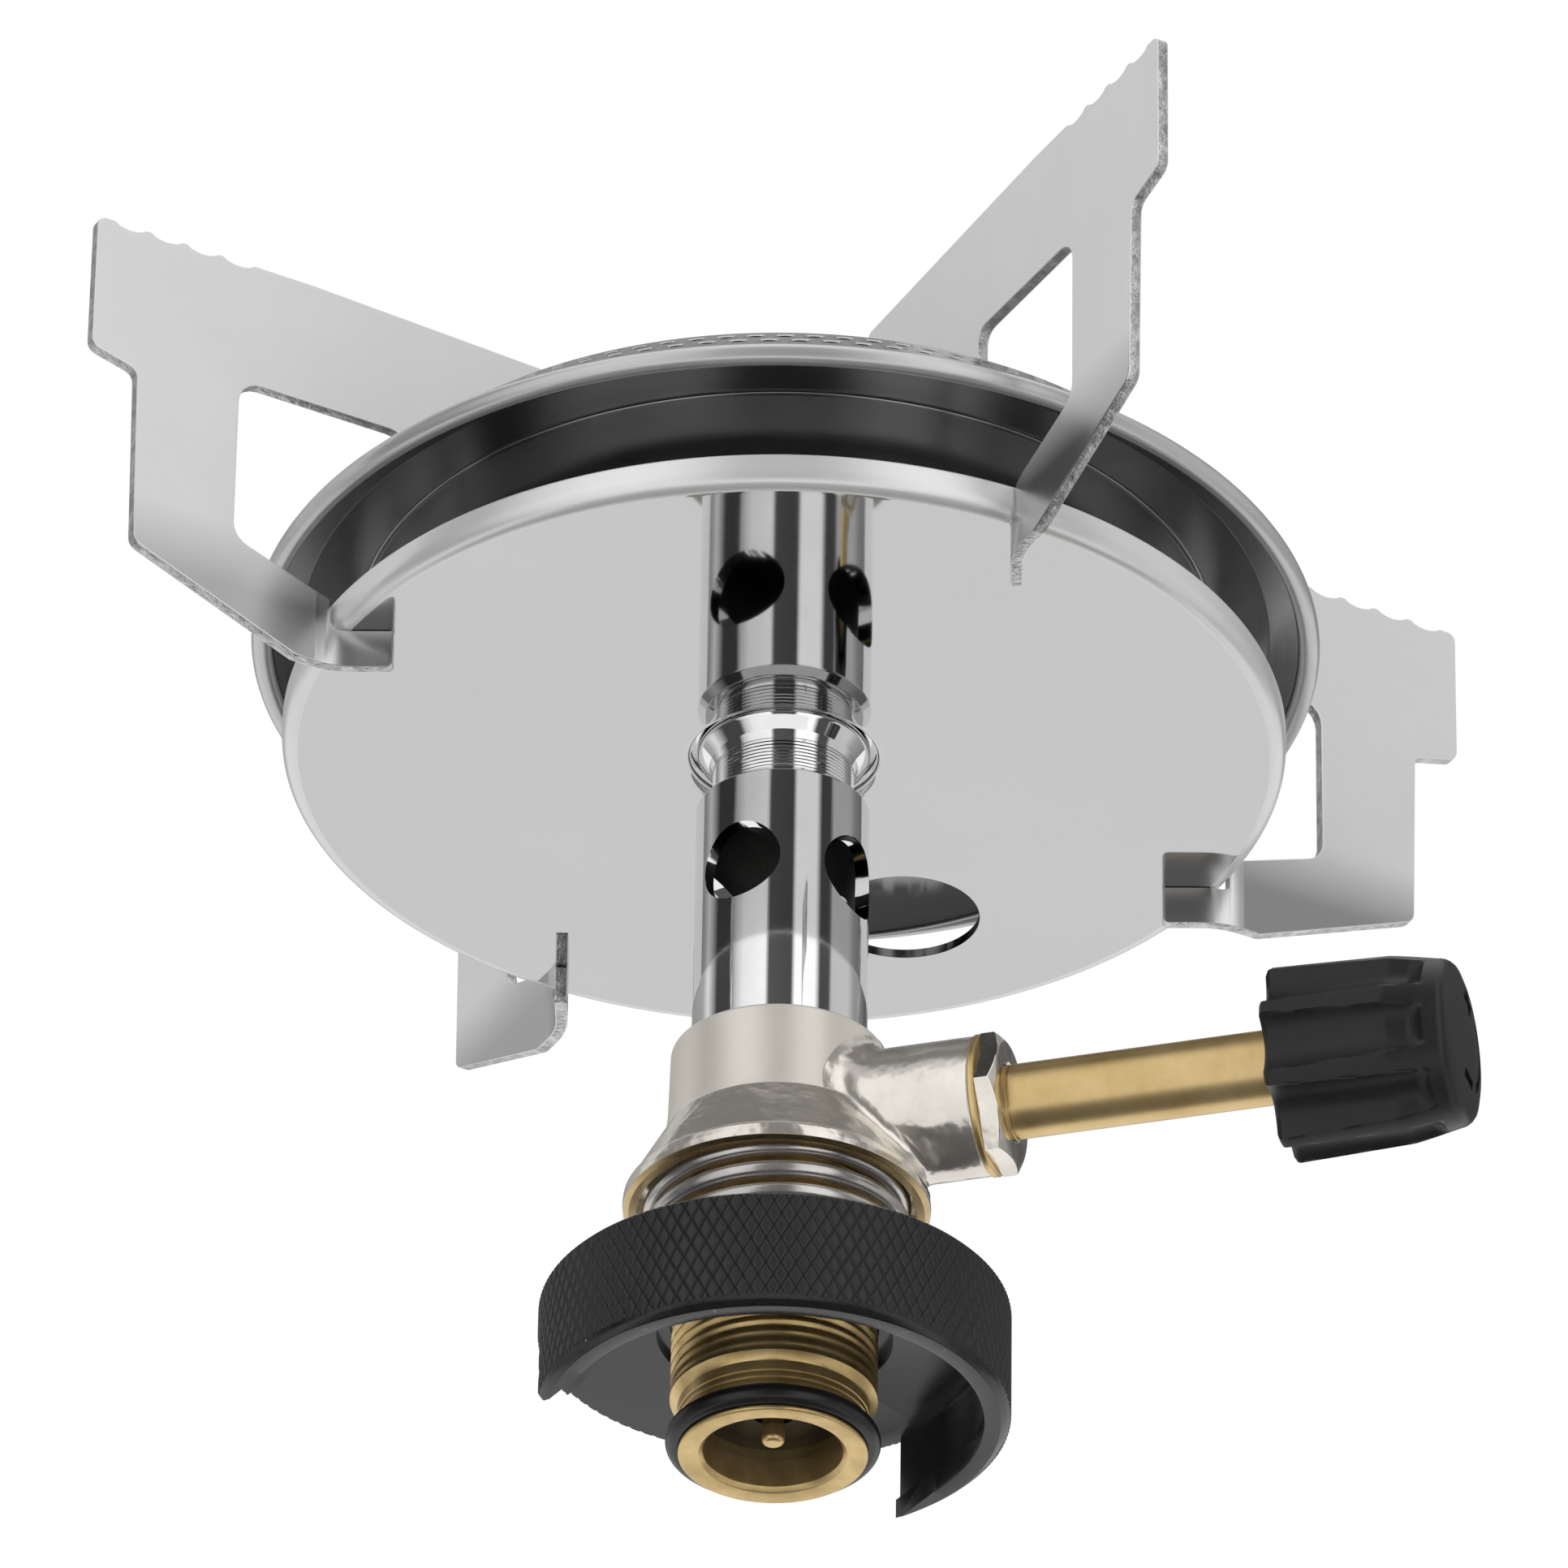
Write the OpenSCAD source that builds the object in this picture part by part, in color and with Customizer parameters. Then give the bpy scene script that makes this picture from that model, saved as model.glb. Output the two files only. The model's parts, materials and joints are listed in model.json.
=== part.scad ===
// Single-burner gas stove head that screws or clips onto a gas cartridge.
// A brass nipple takes the cartridge, a sprung locking ring travels on its thread,
// a cast valve body carries the control valve, and a mixing tube feeds a perforated
// burner that stands over a heat plate between four stamped pot supports.
// Origin: centre of the nipple's mouth. +Z runs up the stove's axis.
// +X and +Y run along pot supports 1 and 2.

/* [Inlet nipple] */
// Length of the nipple from its mouth to the ceiling of the body's skirt
nipple_len = 23.6; // [22:0.1:28]
// Outer diameter of the nipple's thread
nipple_thread_d = 16.3; // [15.8:0.1:16.5]
// Height of the first thread above the mouth
nipple_thread_start = 4.9; // [4:0.1:6]
// Step from the thread in to the plain neck below it
nipple_neck_step = 0.65; // [0.4:0.05:0.8]
// Step from the neck in to the lip at the mouth
nipple_lip_step = 0.05; // [0:0.05:0.2]
// Diameter of the inlet bore
inlet_d = 11.1; // [10.5:0.1:11.4]
// Depth of the inlet bore down to its seal's pocket
inlet_depth = 2.9; // [2.5:0.1:5]
// Section of the sealing ring outside the nipple
tip_ring_w = 1.7; // [1.4:0.1:1.9]
// How far that sealing ring stands out past the neck
tip_ring_out = 0.95; // [0.7:0.05:1.2]
// Diameter of the pin that opens the cartridge's valve
pin_d = 1.9; // [1.5:0.1:2.4]
// Distance from the mouth up to the pin's ball end
pin_recess = 1.05; // [0.8:0.05:2]

/* [Locking ring] */
// Outer diameter over the knurl
ring_d = 37.2; // [36.6:0.1:40]
// Height of the knurled body
ring_h = 9.9; // [9.5:0.1:12]
// Distance from the nipple's mouth up to the ring's lower face, as shown
ring_rest_z = 3.05; // [2.6:0.05:3.6]
// Wall of the ring at the lip that grips the cartridge
ring_wall = 2.1; // [1.9:0.05:2.6]
// Depth of the undercut above that lip
ring_undercut = 0.4; // [0.2:0.1:0.5]
// Depth of the cavity up to its ceiling
ring_cavity_h = 7.4; // [6:0.1:7.6]
// Width of the relief round the nipple in the cavity's ceiling
ring_relief_w = 1.15; // [0.9:0.05:1.6]
// Direction of the open side of the ring
ring_mouth_angle = 93.5; // [0:0.5:180]
// Pitch of the nipple's thread
thread_pitch = 1; // [0.8:0.1:1.5]

/* [Ring spring] */
// Gap between the nipple's thread and the spring
spring_gap = 1.1; // [0.9:0.05:1.4]
// Diameter of the spring's wire
spring_wire_d = 1.4; // [1.2:0.1:1.5]
// Turns between the two seats
spring_turns = 4.3; // [3.6:0.1:4.6]

/* [Valve body] */
// Wall of the upper barrel round the mixing tube
barrel_wall = 1.6; // [1.3:0.05:2.2]
// Height from the skirt's ceiling to the top of the barrel
barrel_h = 12.74; // [12:0.02:16]
// Gap between the spring and the skirt
skirt_gap = 0.44; // [0.3:0.02:0.8]
// Wall of the skirt
skirt_wall = 1.06; // [0.8:0.02:1.2]
// Depth of the skirt
skirt_h = 1.8; // [1.5:0.1:2.5]
// Diameter of the boss round the valve spindle
boss_d = 11.2; // [10.6:0.1:12]
// Distance from the stove's axis to the end of the boss
boss_len = 17; // [16.5:0.1:20]

/* [Valve and knob] */
// Direction of the valve spindle
knob_angle = -45; // [-60:1:-30]
// Diameter of the valve spindle
spindle_d = 6; // [5.6:0.1:6.2]
// Distance from the stove's axis to the back of the knob
knob_back = 41.05; // [36:0.05:50]
// Largest diameter of the knob, at its back
knob_d = 15.54; // [15:0.02:18]
// Diameter of the knob at its front
knob_front_d = 12.9; // [12.4:0.1:14]
// Length of the knob
knob_len = 15.3; // [14.5:0.1:20]
// Number of flutes round the knob
knob_flutes = 8; // [5:1:10]
// Width across the flats of the packing nut
nut_af = 10; // [9.6:0.1:10.8]

/* [Mixing tube] */
// Outer diameter of the tube
tube_d = 14; // [13.2:0.1:14.4]
// Wall of the tube
tube_wall = 1.1; // [0.8:0.1:1.4]
// Length of the full-diameter tube
tube_len = 27.07; // [25:0.01:40]
// Step from the tube in to the neck above it
tube_neck_step = 1.3; // [1:0.05:1.6]
// Length of the neck
tube_neck_len = 3.2; // [2.5:0.1:5]
// Diameter of the air holes
air_hole_d = 7; // [5:0.1:7.6]
// Number of air holes
air_holes = 4; // [2:1:4]
// Distance from the top of the tube down to the middle of the air holes
air_hole_drop = 8.67; // [6:0.01:10]

/* [Heat plate] */
// Outer diameter of the plate
plate_d = 81; // [78:0.5:84]
// Height of the plate's turned-up rim
plate_h = 2.7; // [2.4:0.1:3.2]
// Thickness of the sheet
plate_t = 0.8; // [0.5:0.1:1]
// Diameter of the sight hole
sight_hole_d = 12.5; // [8:0.1:13]
// Distance from the axis to the middle of the sight hole
sight_hole_r = 25; // [20:0.1:27]

/* [Burner] */
// Diameter over the burner's rolled rim
burner_d = 86.6; // [84:0.2:88]
// Width of the flange between the cup and the edge of the rim
cup_flange_w = 8.8; // [8.4:0.1:12]
// Height of the cup below its flange
cup_h = 9.06; // [7:0.01:11]
// Thickness of the burner's sheet
burner_t = 0.6; // [0.4:0.1:0.7]
// Diameter of the bead rolled round the rim
bead_d = 1.7; // [1.5:0.1:2]
// Height of the cap's top above the flange
cap_h = 3.94; // [3.5:0.02:5]
// Width of the sloping band that holds the flame ports
cap_slope_w = 5.3; // [4.8:0.1:6.2]
// Diameter of a flame port
port_d = 1.2; // [0.9:0.1:1.4]
// Number of flame ports in a row
ports = 104; // [40:4:108]

/* [Pot supports] */
// Number of supports round the stove
supports = 4; // [4:1:4]
// Thickness of the stamped sheet
support_t = 1; // [0.8:0.1:1.2]
// How far the outer end stands out past the burner and the plate
support_overhang = 19.5; // [18.8:0.1:23]
// Height from the underside of the plate to the top edge
support_h = 32.36; // [30:0.02:36]
// Distance of the sheet's middle from the axis
support_offset = 1.6; // [1.2:0.1:2.4]
// Width of the post outside the window
post_w = 9.1; // [7:0.1:11]
// Distance between the anti-slip notches in the top edge
notch_pitch = 3.25; // [2.5:0.05:3.5]
// Depth of those notches
notch_depth = 0.45; // [0.2:0.05:0.6]

/* [Hidden] */
$fn = 96;

// Overrun of every cut past the face that it opens
cut = 1;
// Clearance between pieces that seat or press together
seat_gap = 0.02;
// Clearance of pieces that slide or turn
run_gap = 0.05;

// Inlet nipple: heights run up from the mouth
nipple_neck_d = nipple_thread_d - 2 * nipple_neck_step;
nipple_lip_d = nipple_neck_d - 2 * nipple_lip_step;
nipple_lip_h = 0.3;
tip_ring_d = nipple_neck_d + 2 * tip_ring_out;
tip_ring_gap = 0.05;
tip_ring_r = tip_ring_d / 2 - tip_ring_w / 2;
tip_groove_r = tip_ring_r - tip_ring_w / 2 - tip_ring_gap;
tip_groove_top = nipple_lip_h + tip_ring_w + 2 * tip_ring_gap;
tip_ring_z = (nipple_lip_h + tip_groove_top) / 2;
thread_lead = 0.5;
spigot_step = 1.65;
spigot_d = nipple_thread_d - 2 * spigot_step;
spigot_h = 0.6;
seal_pocket_d = inlet_d + 0.6 * thread_lead;
seal_recess = 0.9;
seal_z = inlet_depth + seal_recess;
seal_h = 1.8;
seal_hole_d = 3.6;
pin_ledge_d = 4.4;
pin_ledge_z = seal_z + seal_h + thread_lead;
pin_head_d = 5.2;
pin_head_h = 1.2;
pin_neck = 0.1;
pin_port_d = 1;
pin_ports = 3;
filter_h = 2;
passage_d = pin_head_d + 2 * seat_gap;

// Locking ring: heights follow its lower face
ring_lip_d = ring_d - 2 * ring_wall;
ring_relief_d = nipple_thread_d + 2 * ring_relief_w;
ring_chamfer = 0.7;
ring_top_chamfer = 0.3;
ring_lip_h = 1.9;
ring_top_z = ring_rest_z + ring_h;
ring_ceiling_z = ring_rest_z + ring_cavity_h;
ring_channel_h = 0.4;
ring_mouth_ease = 0.1;
ring_relief_h = 1;
ring_hub_h = 0.4;
ring_bore_r = nipple_thread_d / 2 + run_gap;
ring_hub_wall = 0.7;
ring_hub_r = ring_bore_r + ring_hub_wall;
washer_t = 0.5;
washer_lap = 0.3;

// Ring spring: it stands clear of the nipple's thread
spring_d = nipple_thread_d + 2 * (spring_gap + spring_wire_d);

// Valve body: heights run up from the skirt's ceiling
barrel_d = tube_d + 2 * barrel_wall;
skirt_d = spring_d + 2 * (skirt_gap + skirt_wall);
ceiling_z = nipple_len;
skirt_z = ceiling_z - skirt_h;
body_top_z = ceiling_z + barrel_h;
skirt_bead_h = 1.3;
skirt_bead_step = 0.3;
shoulder_h = 5.15;
barrel_draft = 0.12;
barrel_chamfer = 0.25;
tube_seat_depth = 3.34;
tube_z = body_top_z - tube_seat_depth;
spindle_h = 5.8;
spindle_z = ceiling_z + spindle_h;

// Valve: distances run out from the stove's axis along the spindle
seat_at = -1.2;
seat_bore_d = 1.8;
seat_bore_len = 3;
feed_at = seat_at - seat_bore_len / 3;
feed_d = 1.6;
chamber_d = 3.4;
needle_stem_d = 2.6;
needle_len = 1.6;
needle_tip_share = 0.55;
spindle_thread_step = 0.6;
spindle_thread_d = spindle_d - 2 * spindle_thread_step;
spindle_thread_at = 6;
gland_at = 11.2;
gland_step = 0.3;
gland_d = spindle_d + 2 * gland_step;
gland_floor = 14.2;
gland_wall = 1.2;
gland_thread_d = spindle_d + 2 * gland_wall;
spindle_ring_w = 1.3;
spindle_ring_r = gland_d / 2 - run_gap - spindle_ring_w / 2;
spindle_groove_r = spindle_ring_r - spindle_ring_w / 2 - run_gap;
spindle_groove_at = 11.6;
spindle_groove_w = 1.6;
spindle_ring_at = spindle_groove_at + spindle_groove_w / 2;
gland_washer_t = 0.5;
gland_washer_lip = 0.1;
nut_at = boss_len + gland_washer_t;
nut_h = 1.7;
nut_chamfer = 0.5;
mark_groove_w = 0.2;
mark_groove_at = nut_at + nut_h + mark_groove_w;
mark_groove_depth = 0.2;
spindle_socket = 2;
spindle_end_step = 0.7;
spindle_end_d = spindle_d - 2 * spindle_end_step;
spindle_end_len = 8;
spindle_flat = 0.7;

// Knob
knob_end = knob_back + knob_len;
knob_edge = 1.2;
knob_dome = 0.45;
knob_waist_share = 0.66;
knob_taper_share = 0.24;
knob_waist_d = knob_d - knob_taper_share * (knob_d - knob_front_d);
flute_r = 2.4;
flute_phase_share = 0.36;
flute_root_share = 0.825;
flute_axis_r = flute_root_share * knob_d / 2 + flute_r;
flute_stop = 2.6;
flute_end_r = 1.2;
knob_shell = 1.5;
knob_hub_wall = 1.2;
knob_hub_d = spindle_d + 2 * knob_hub_wall;
knob_hollow = 7;
mark_depth = 0.4;
mark_w = 0.75;
mark_len = 2.5;
mark_r = 3.5;
mark_arc = 100;

// Gas jet
jet_thread_d = 5;
jet_thread_len = 1.3;
jet_af = 7;
jet_hex_h = 2.6;
jet_tip_d = 3;
jet_tip_h = 5;
jet_bore_d = 1.6;
jet_orifice_d = 0.4;
jet_orifice_len = 0.8;

// Mixing tube: heights run up from its seat in the body
tube_top_z = tube_z + tube_len;
tube_chamfer = 0.65;
tube_neck_d = tube_d - 2 * tube_neck_step;
collar_z = tube_top_z + tube_neck_len;
collar_fillet = 0.6;
collar_d = tube_d;
collar_round = 1.5;
collar_land_h = 1.3;
collar_seat_step = 0.48;
collar_seat_d = collar_d + 2 * collar_seat_step;
flange_w = 2.52;
flange_d = collar_seat_d + 2 * flange_w;
flange_z = collar_z + collar_fillet + collar_round + collar_land_h;
flange_t = 1.4;
floor_z = flange_z + flange_t;
stud_h = 4.6;
throat_wall = 1.5;
throat_d = tube_neck_d - 2 * throat_wall;
throat_drop = 3;
air_hole_z = tube_top_z - air_hole_drop;
air_hole_angle = 30;

// Heat plate
plate_z = collar_z + collar_fillet + 0.35 * collar_round;
plate_r = plate_d / 2;
plate_round = 2.1;
plate_top_z = plate_z + plate_h;
plate_hole_r = collar_seat_d / 2 + seat_gap;
plate_hole_round = 1;
sight_hole_angle = 37.5;

// Burner: the cup stands on the tube's flange
cup_r = burner_d / 2 - cup_flange_w;
cup_round = 2.5;
cup_flange_z = floor_z + cup_h;
bead_r = bead_d / 2;
bead_mid_r = burner_d / 2 - bead_r;
bead_drop = 2.03;
bead_z = cup_flange_z - bead_drop;
flange_bend_r = (cup_r + burner_d / 2) / 2 + 0.4 * bead_d / 2;
flange_sag = 0.58;
cap_top_z = cup_flange_z + cap_h;
cap_top_r = burner_d / 2 - cap_slope_w;
cap_round = 1.1;
cap_dish_d = 24;
cap_dish_h = 1.2;
cap_dish_wall = 2;
port_row_shares = [0.34, 0.76];
diffuser_r = 18;
diffuser_t = 0.5;
diffuser_holes = 18;
diffuser_hole_d = 3.6;
burner_nut_wall = 1.8;
burner_nut_af = tube_neck_d + 2 * burner_nut_wall;
burner_nut_h = 3;

// Pot supports: the outline runs in the sheet, outwards and up
support_reach = max(plate_r, burner_d / 2) + support_overhang;
support_top_z = plate_z + support_h;
support_step_w = 4.1;
support_step_h = 12.5;
support_step_z = support_top_z - support_step_h;
support_step_drop = 1.1;
post_foot_rise = 2.55;
foot_drop = 3.4;
foot_z = plate_z - foot_drop;
foot_kink_out = 3.2;
foot_kink_r = plate_r + foot_kink_out;
foot_in = 5.1;
rim_gap = 0.3;
slot_top_gap = 0.05;
window_drop = 11.4;
window_top_z = support_top_z - window_drop;
window_foot_rise = 3.2;
window_round = 2;
leg_inset = 3.3;
leg_out = cap_top_r - leg_inset;
leg_w = 10.7;
leg_lean = 4.2;
leg_gap = 0.05;
top_fall = 1.1;
top_land = 5;
tab_w = 5;
tab_in = 3.7;
tab_depth = 1.6;
tab_gap = 0.15;
notches = 4;
notch_land = 0.5;
corner_round = 0.8;

// Points on an arc about c, from angle a to angle b
function arc(c, r, a, b, n = 6) =
    [for (i = [0 : n]) let (t = a + (b - a) * i / n) [c[0] + r * cos(t), c[1] + r * sin(t)]];

// A ring of round section about the Z axis
module torus(mid_r, section_r) {
    rotate_extrude() translate([mid_r, 0]) circle(r = section_r);
}

// A flat ring standing on z = 0
module washer(outer_d, inner_d, h) {
    difference() {
        cylinder(d = outer_d, h = h);
        translate([0, 0, -cut]) cylinder(d = inner_d, h = h + 2 * cut);
    }
}

// Places children in the valve's own frame, with +Z out along the spindle
module along_spindle(at = 0) {
    translate([0, 0, spindle_z])
        rotate([0, 0, knob_angle])
            rotate([0, 90, 0])
                translate([0, 0, at])
                    children();
}

module nipple() {
    lip_r = nipple_lip_d / 2;
    neck_r = nipple_neck_d / 2;
    thread_r = nipple_thread_d / 2;
    color([0.78, 0.63, 0.33]) difference() {
        rotate_extrude() polygon([
            [0, 0], [lip_r, 0], [lip_r, nipple_lip_h], [tip_groove_r, nipple_lip_h],
            [tip_groove_r, tip_groove_top], [neck_r, tip_groove_top],
            [neck_r, nipple_thread_start - thread_lead], [thread_r, nipple_thread_start],
            [thread_r, nipple_len], [spigot_d / 2, nipple_len],
            [spigot_d / 2, nipple_len + spigot_h - seat_gap], [0, nipple_len + spigot_h - seat_gap]
        ]);
        translate([0, 0, -cut]) cylinder(d = inlet_d, h = inlet_depth + cut);
        translate([0, 0, inlet_depth]) cylinder(d = seal_pocket_d, h = seal_recess + seal_h + seat_gap);
        translate([0, 0, seal_z]) cylinder(d = pin_ledge_d, h = nipple_len);
        translate([0, 0, pin_ledge_z]) cylinder(d = passage_d, h = nipple_len);
    }
}

module nipple_o_ring() {
    color([0.13, 0.13, 0.14]) translate([0, 0, tip_ring_z]) torus(tip_ring_r, tip_ring_w / 2);
}

module inlet_seal() {
    color([0.13, 0.13, 0.14]) translate([0, 0, seal_z + seat_gap])
        washer(seal_pocket_d - 2 * seat_gap, seal_hole_d, seal_h - seat_gap);
}

module depressor_pin() {
    ball_z = pin_recess + pin_d / 2;
    color([0.80, 0.65, 0.35]) difference() {
        union() {
            translate([0, 0, ball_z]) sphere(d = pin_d);
            translate([0, 0, ball_z])
                cylinder(d = pin_d - 2 * pin_neck, h = pin_ledge_z + pin_head_h / 2 - ball_z);
            translate([0, 0, pin_ledge_z]) cylinder(d = pin_head_d, h = pin_head_h);
        }
        for (i = [0 : pin_ports - 1])
            rotate([0, 0, i * 360 / pin_ports])
                translate([(pin_d + pin_head_d) / 4, 0, pin_ledge_z - cut])
                    cylinder(d = pin_port_d, h = pin_head_h + 2 * cut);
    }
}

module inlet_filter() {
    color([0.62, 0.52, 0.38]) translate([0, 0, pin_ledge_z + pin_head_h + seat_gap])
        cylinder(d = pin_head_d, h = filter_h);
}

// A slot out of the ring's open side, a little narrower than the round hollow of diameter d
module ring_slot(d, z0, z1) {
    rotate([0, 0, ring_mouth_angle])
        translate([0, ring_mouth_ease - d / 2, z0])
            cube([ring_d, d - 2 * ring_mouth_ease, z1 - z0]);
}

module locking_ring() {
    outer_r = ring_d / 2;
    lip_top = ring_rest_z + ring_lip_h;
    undercut_d = ring_lip_d + 2 * ring_undercut;
    color([0.20, 0.20, 0.21]) difference() {
        rotate_extrude() polygon([
            [0, ring_rest_z], [outer_r - ring_chamfer, ring_rest_z],
            [outer_r, ring_rest_z + ring_chamfer], [outer_r, ring_top_z - ring_top_chamfer],
            [outer_r - ring_top_chamfer, ring_top_z], [ring_hub_r, ring_top_z],
            [ring_hub_r, ring_top_z + ring_hub_h], [0, ring_top_z + ring_hub_h]
        ]);
        translate([0, 0, ring_rest_z - cut]) cylinder(d = ring_lip_d, h = ring_lip_h + 2 * cut);
        ring_slot(ring_lip_d, ring_rest_z - cut, lip_top + cut);
        translate([0, 0, lip_top]) cylinder(d = undercut_d, h = ring_ceiling_z - lip_top);
        ring_slot(undercut_d, lip_top, ring_ceiling_z);
        translate([0, 0, ring_ceiling_z - cut]) cylinder(d = ring_relief_d, h = ring_relief_h + cut);
        ring_slot(ring_relief_d - cut, ring_ceiling_z - cut, ring_ceiling_z + ring_channel_h);
        translate([0, 0, ring_rest_z]) cylinder(r = ring_bore_r, h = ring_h + ring_hub_h + cut);
    }
}

module slip_washer() {
    outer_d = spring_d + 2 * washer_lap;
    color([0.62, 0.62, 0.63]) translate([0, 0, ring_top_z])
        washer(outer_d, 2 * (ring_hub_r + run_gap), washer_t);
}

// Ring spring: one tube wound between the slip washer and the skirt's ceiling
spring_sides = 6;
spring_rings_a_turn = 8;
spring_wire_r = spring_wire_d / 2;
spring_mid_r = spring_d / 2 - spring_wire_r;
spring_seat_gap = 0.05;
spring_low = ring_top_z + washer_t + spring_wire_r + spring_seat_gap;
spring_high = ceiling_z - spring_wire_r - spring_seat_gap;
spring_pitch = (spring_high - spring_low) / spring_turns;
spring_phase = -110;
spring_steps = ceil(spring_turns * spring_rings_a_turn);

// A point of the wire's middle line, t running from 0 to 1
function spring_point(t) = let (a = spring_phase + 360 * spring_turns * t)
    [spring_mid_r * cos(a), spring_mid_r * sin(a), spring_low + (spring_high - spring_low) * t];

// The level direction in which the wire runs at t
function spring_heading(t) = let (a = spring_phase + 360 * spring_turns * t) [-sin(a), cos(a), 0];

// The wire's middle line, with an end piece one wire wide that runs on straight
spring_line = concat(
    [spring_point(0) - spring_wire_d * spring_heading(0)],
    [for (i = [0 : spring_steps]) spring_point(i / spring_steps)],
    [spring_point(1) + spring_wire_d * spring_heading(1)]
);
spring_headings = concat(
    [spring_heading(0)],
    [for (i = [0 : spring_steps]) spring_heading(i / spring_steps)],
    [spring_heading(1)]
);

// The wire's outline round point p, square to its heading h
function spring_outline(p, h) = [
    for (k = [0 : spring_sides - 1]) let (a = 360 * k / spring_sides, side = [h[1], -h[0], 0])
        p + spring_wire_r * (cos(a) * side + sin(a) * [0, 0, 1])
];

// Least distance between wires one turn apart, less one wire
spring_self_gap = min([for (i = [0 : spring_steps - spring_rings_a_turn])
    norm(spring_point(i / spring_steps) - spring_point((i + spring_rings_a_turn) / spring_steps))
]) - spring_wire_d;
echo(spring_self_gap = spring_self_gap);

module ring_spring() {
    last = len(spring_line) - 1;
    n = spring_sides;
    points = [for (i = [0 : last]) each spring_outline(spring_line[i], spring_headings[i])];
    walls = [for (i = [0 : last - 1], k = [0 : n - 1]) let (a = i * n + k, b = i * n + (k + 1) % n)
        each [[a, b, b + n], [a, b + n, a + n]]];
    ends = [for (k = [1 : n - 2]) each [[0, k + 1, k], [last * n, last * n + k, last * n + k + 1]]];
    color([0.60, 0.58, 0.55]) polyhedron(points = points, faces = concat(walls, ends));
}

module valve_body() {
    skirt_r = skirt_d / 2;
    barrel_r = barrel_d / 2;
    bead_top = skirt_z + skirt_bead_h;
    shoulder_z = ceiling_z + shoulder_h;
    jet_z = tube_z - jet_thread_len;
    color([0.80, 0.76, 0.68]) difference() {
        union() {
            rotate_extrude() polygon([
                [0, skirt_z], [skirt_r, skirt_z], [skirt_r, bead_top],
                [skirt_r - skirt_bead_step, bead_top + skirt_bead_step],
                [barrel_r + 2 * barrel_draft, shoulder_z], [barrel_r + barrel_draft, shoulder_z],
                [barrel_r, body_top_z - barrel_chamfer], [barrel_r - barrel_chamfer, body_top_z],
                [0, body_top_z]
            ]);
            along_spindle() cylinder(d = boss_d, h = boss_len);
        }
        translate([0, 0, skirt_z - cut]) cylinder(d = skirt_d - 2 * skirt_wall, h = skirt_h + cut);
        translate([0, 0, ceiling_z - cut]) cylinder(d = spigot_d + 2 * seat_gap, h = spigot_h + cut);
        translate([0, 0, tube_z]) cylinder(d = tube_d + 2 * seat_gap, h = tube_seat_depth + cut);
        translate([0, 0, jet_z]) cylinder(d = jet_thread_d + 2 * seat_gap, h = jet_thread_len + cut);
        translate([0, 0, spindle_z]) cylinder(d = feed_d, h = jet_z - spindle_z + cut);
        rotate([0, 0, knob_angle]) translate([feed_at, 0, ceiling_z])
            cylinder(d = feed_d, h = spindle_h);
        along_spindle(seat_at - seat_bore_len) cylinder(d = seat_bore_d, h = seat_bore_len + cut);
        along_spindle(seat_at) cylinder(d = chamber_d, h = gland_at - seat_at);
        along_spindle(spindle_thread_at - cut)
            cylinder(d = spindle_thread_d + 2 * run_gap, h = gland_at - spindle_thread_at + 2 * cut);
        along_spindle(gland_at) cylinder(d = gland_d, h = boss_len - gland_at);
        along_spindle(gland_floor) cylinder(d = gland_thread_d, h = boss_len - gland_floor + cut);
    }
}

module gland_washer() {
    color([0.76, 0.60, 0.30]) along_spindle(boss_len)
        washer(boss_d + 2 * gland_washer_lip, gland_thread_d, gland_washer_t);
}

module packing_nut() {
    bore_d = spindle_d + 2 * run_gap;
    corner_r = nut_af / 2 / cos(30);
    stub_len = nut_at - gland_floor - seat_gap;
    color([0.82, 0.79, 0.72]) along_spindle(nut_at) difference() {
        union() {
            intersection() {
                cylinder(r = corner_r, h = nut_h, $fn = 6);
                rotate_extrude() polygon([
                    [0, 0], [corner_r, 0], [corner_r, nut_h - nut_chamfer],
                    [corner_r - 2 * nut_chamfer, nut_h], [0, nut_h]
                ]);
            }
            translate([0, 0, -stub_len]) cylinder(d = gland_thread_d - 2 * seat_gap, h = stub_len + cut);
        }
        translate([0, 0, -stub_len - cut]) cylinder(d = bore_d, h = stub_len + nut_h + 2 * cut);
    }
}

module spindle_seal() {
    color([0.13, 0.13, 0.14]) along_spindle(spindle_ring_at) torus(spindle_ring_r, spindle_ring_w / 2);
}

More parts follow.
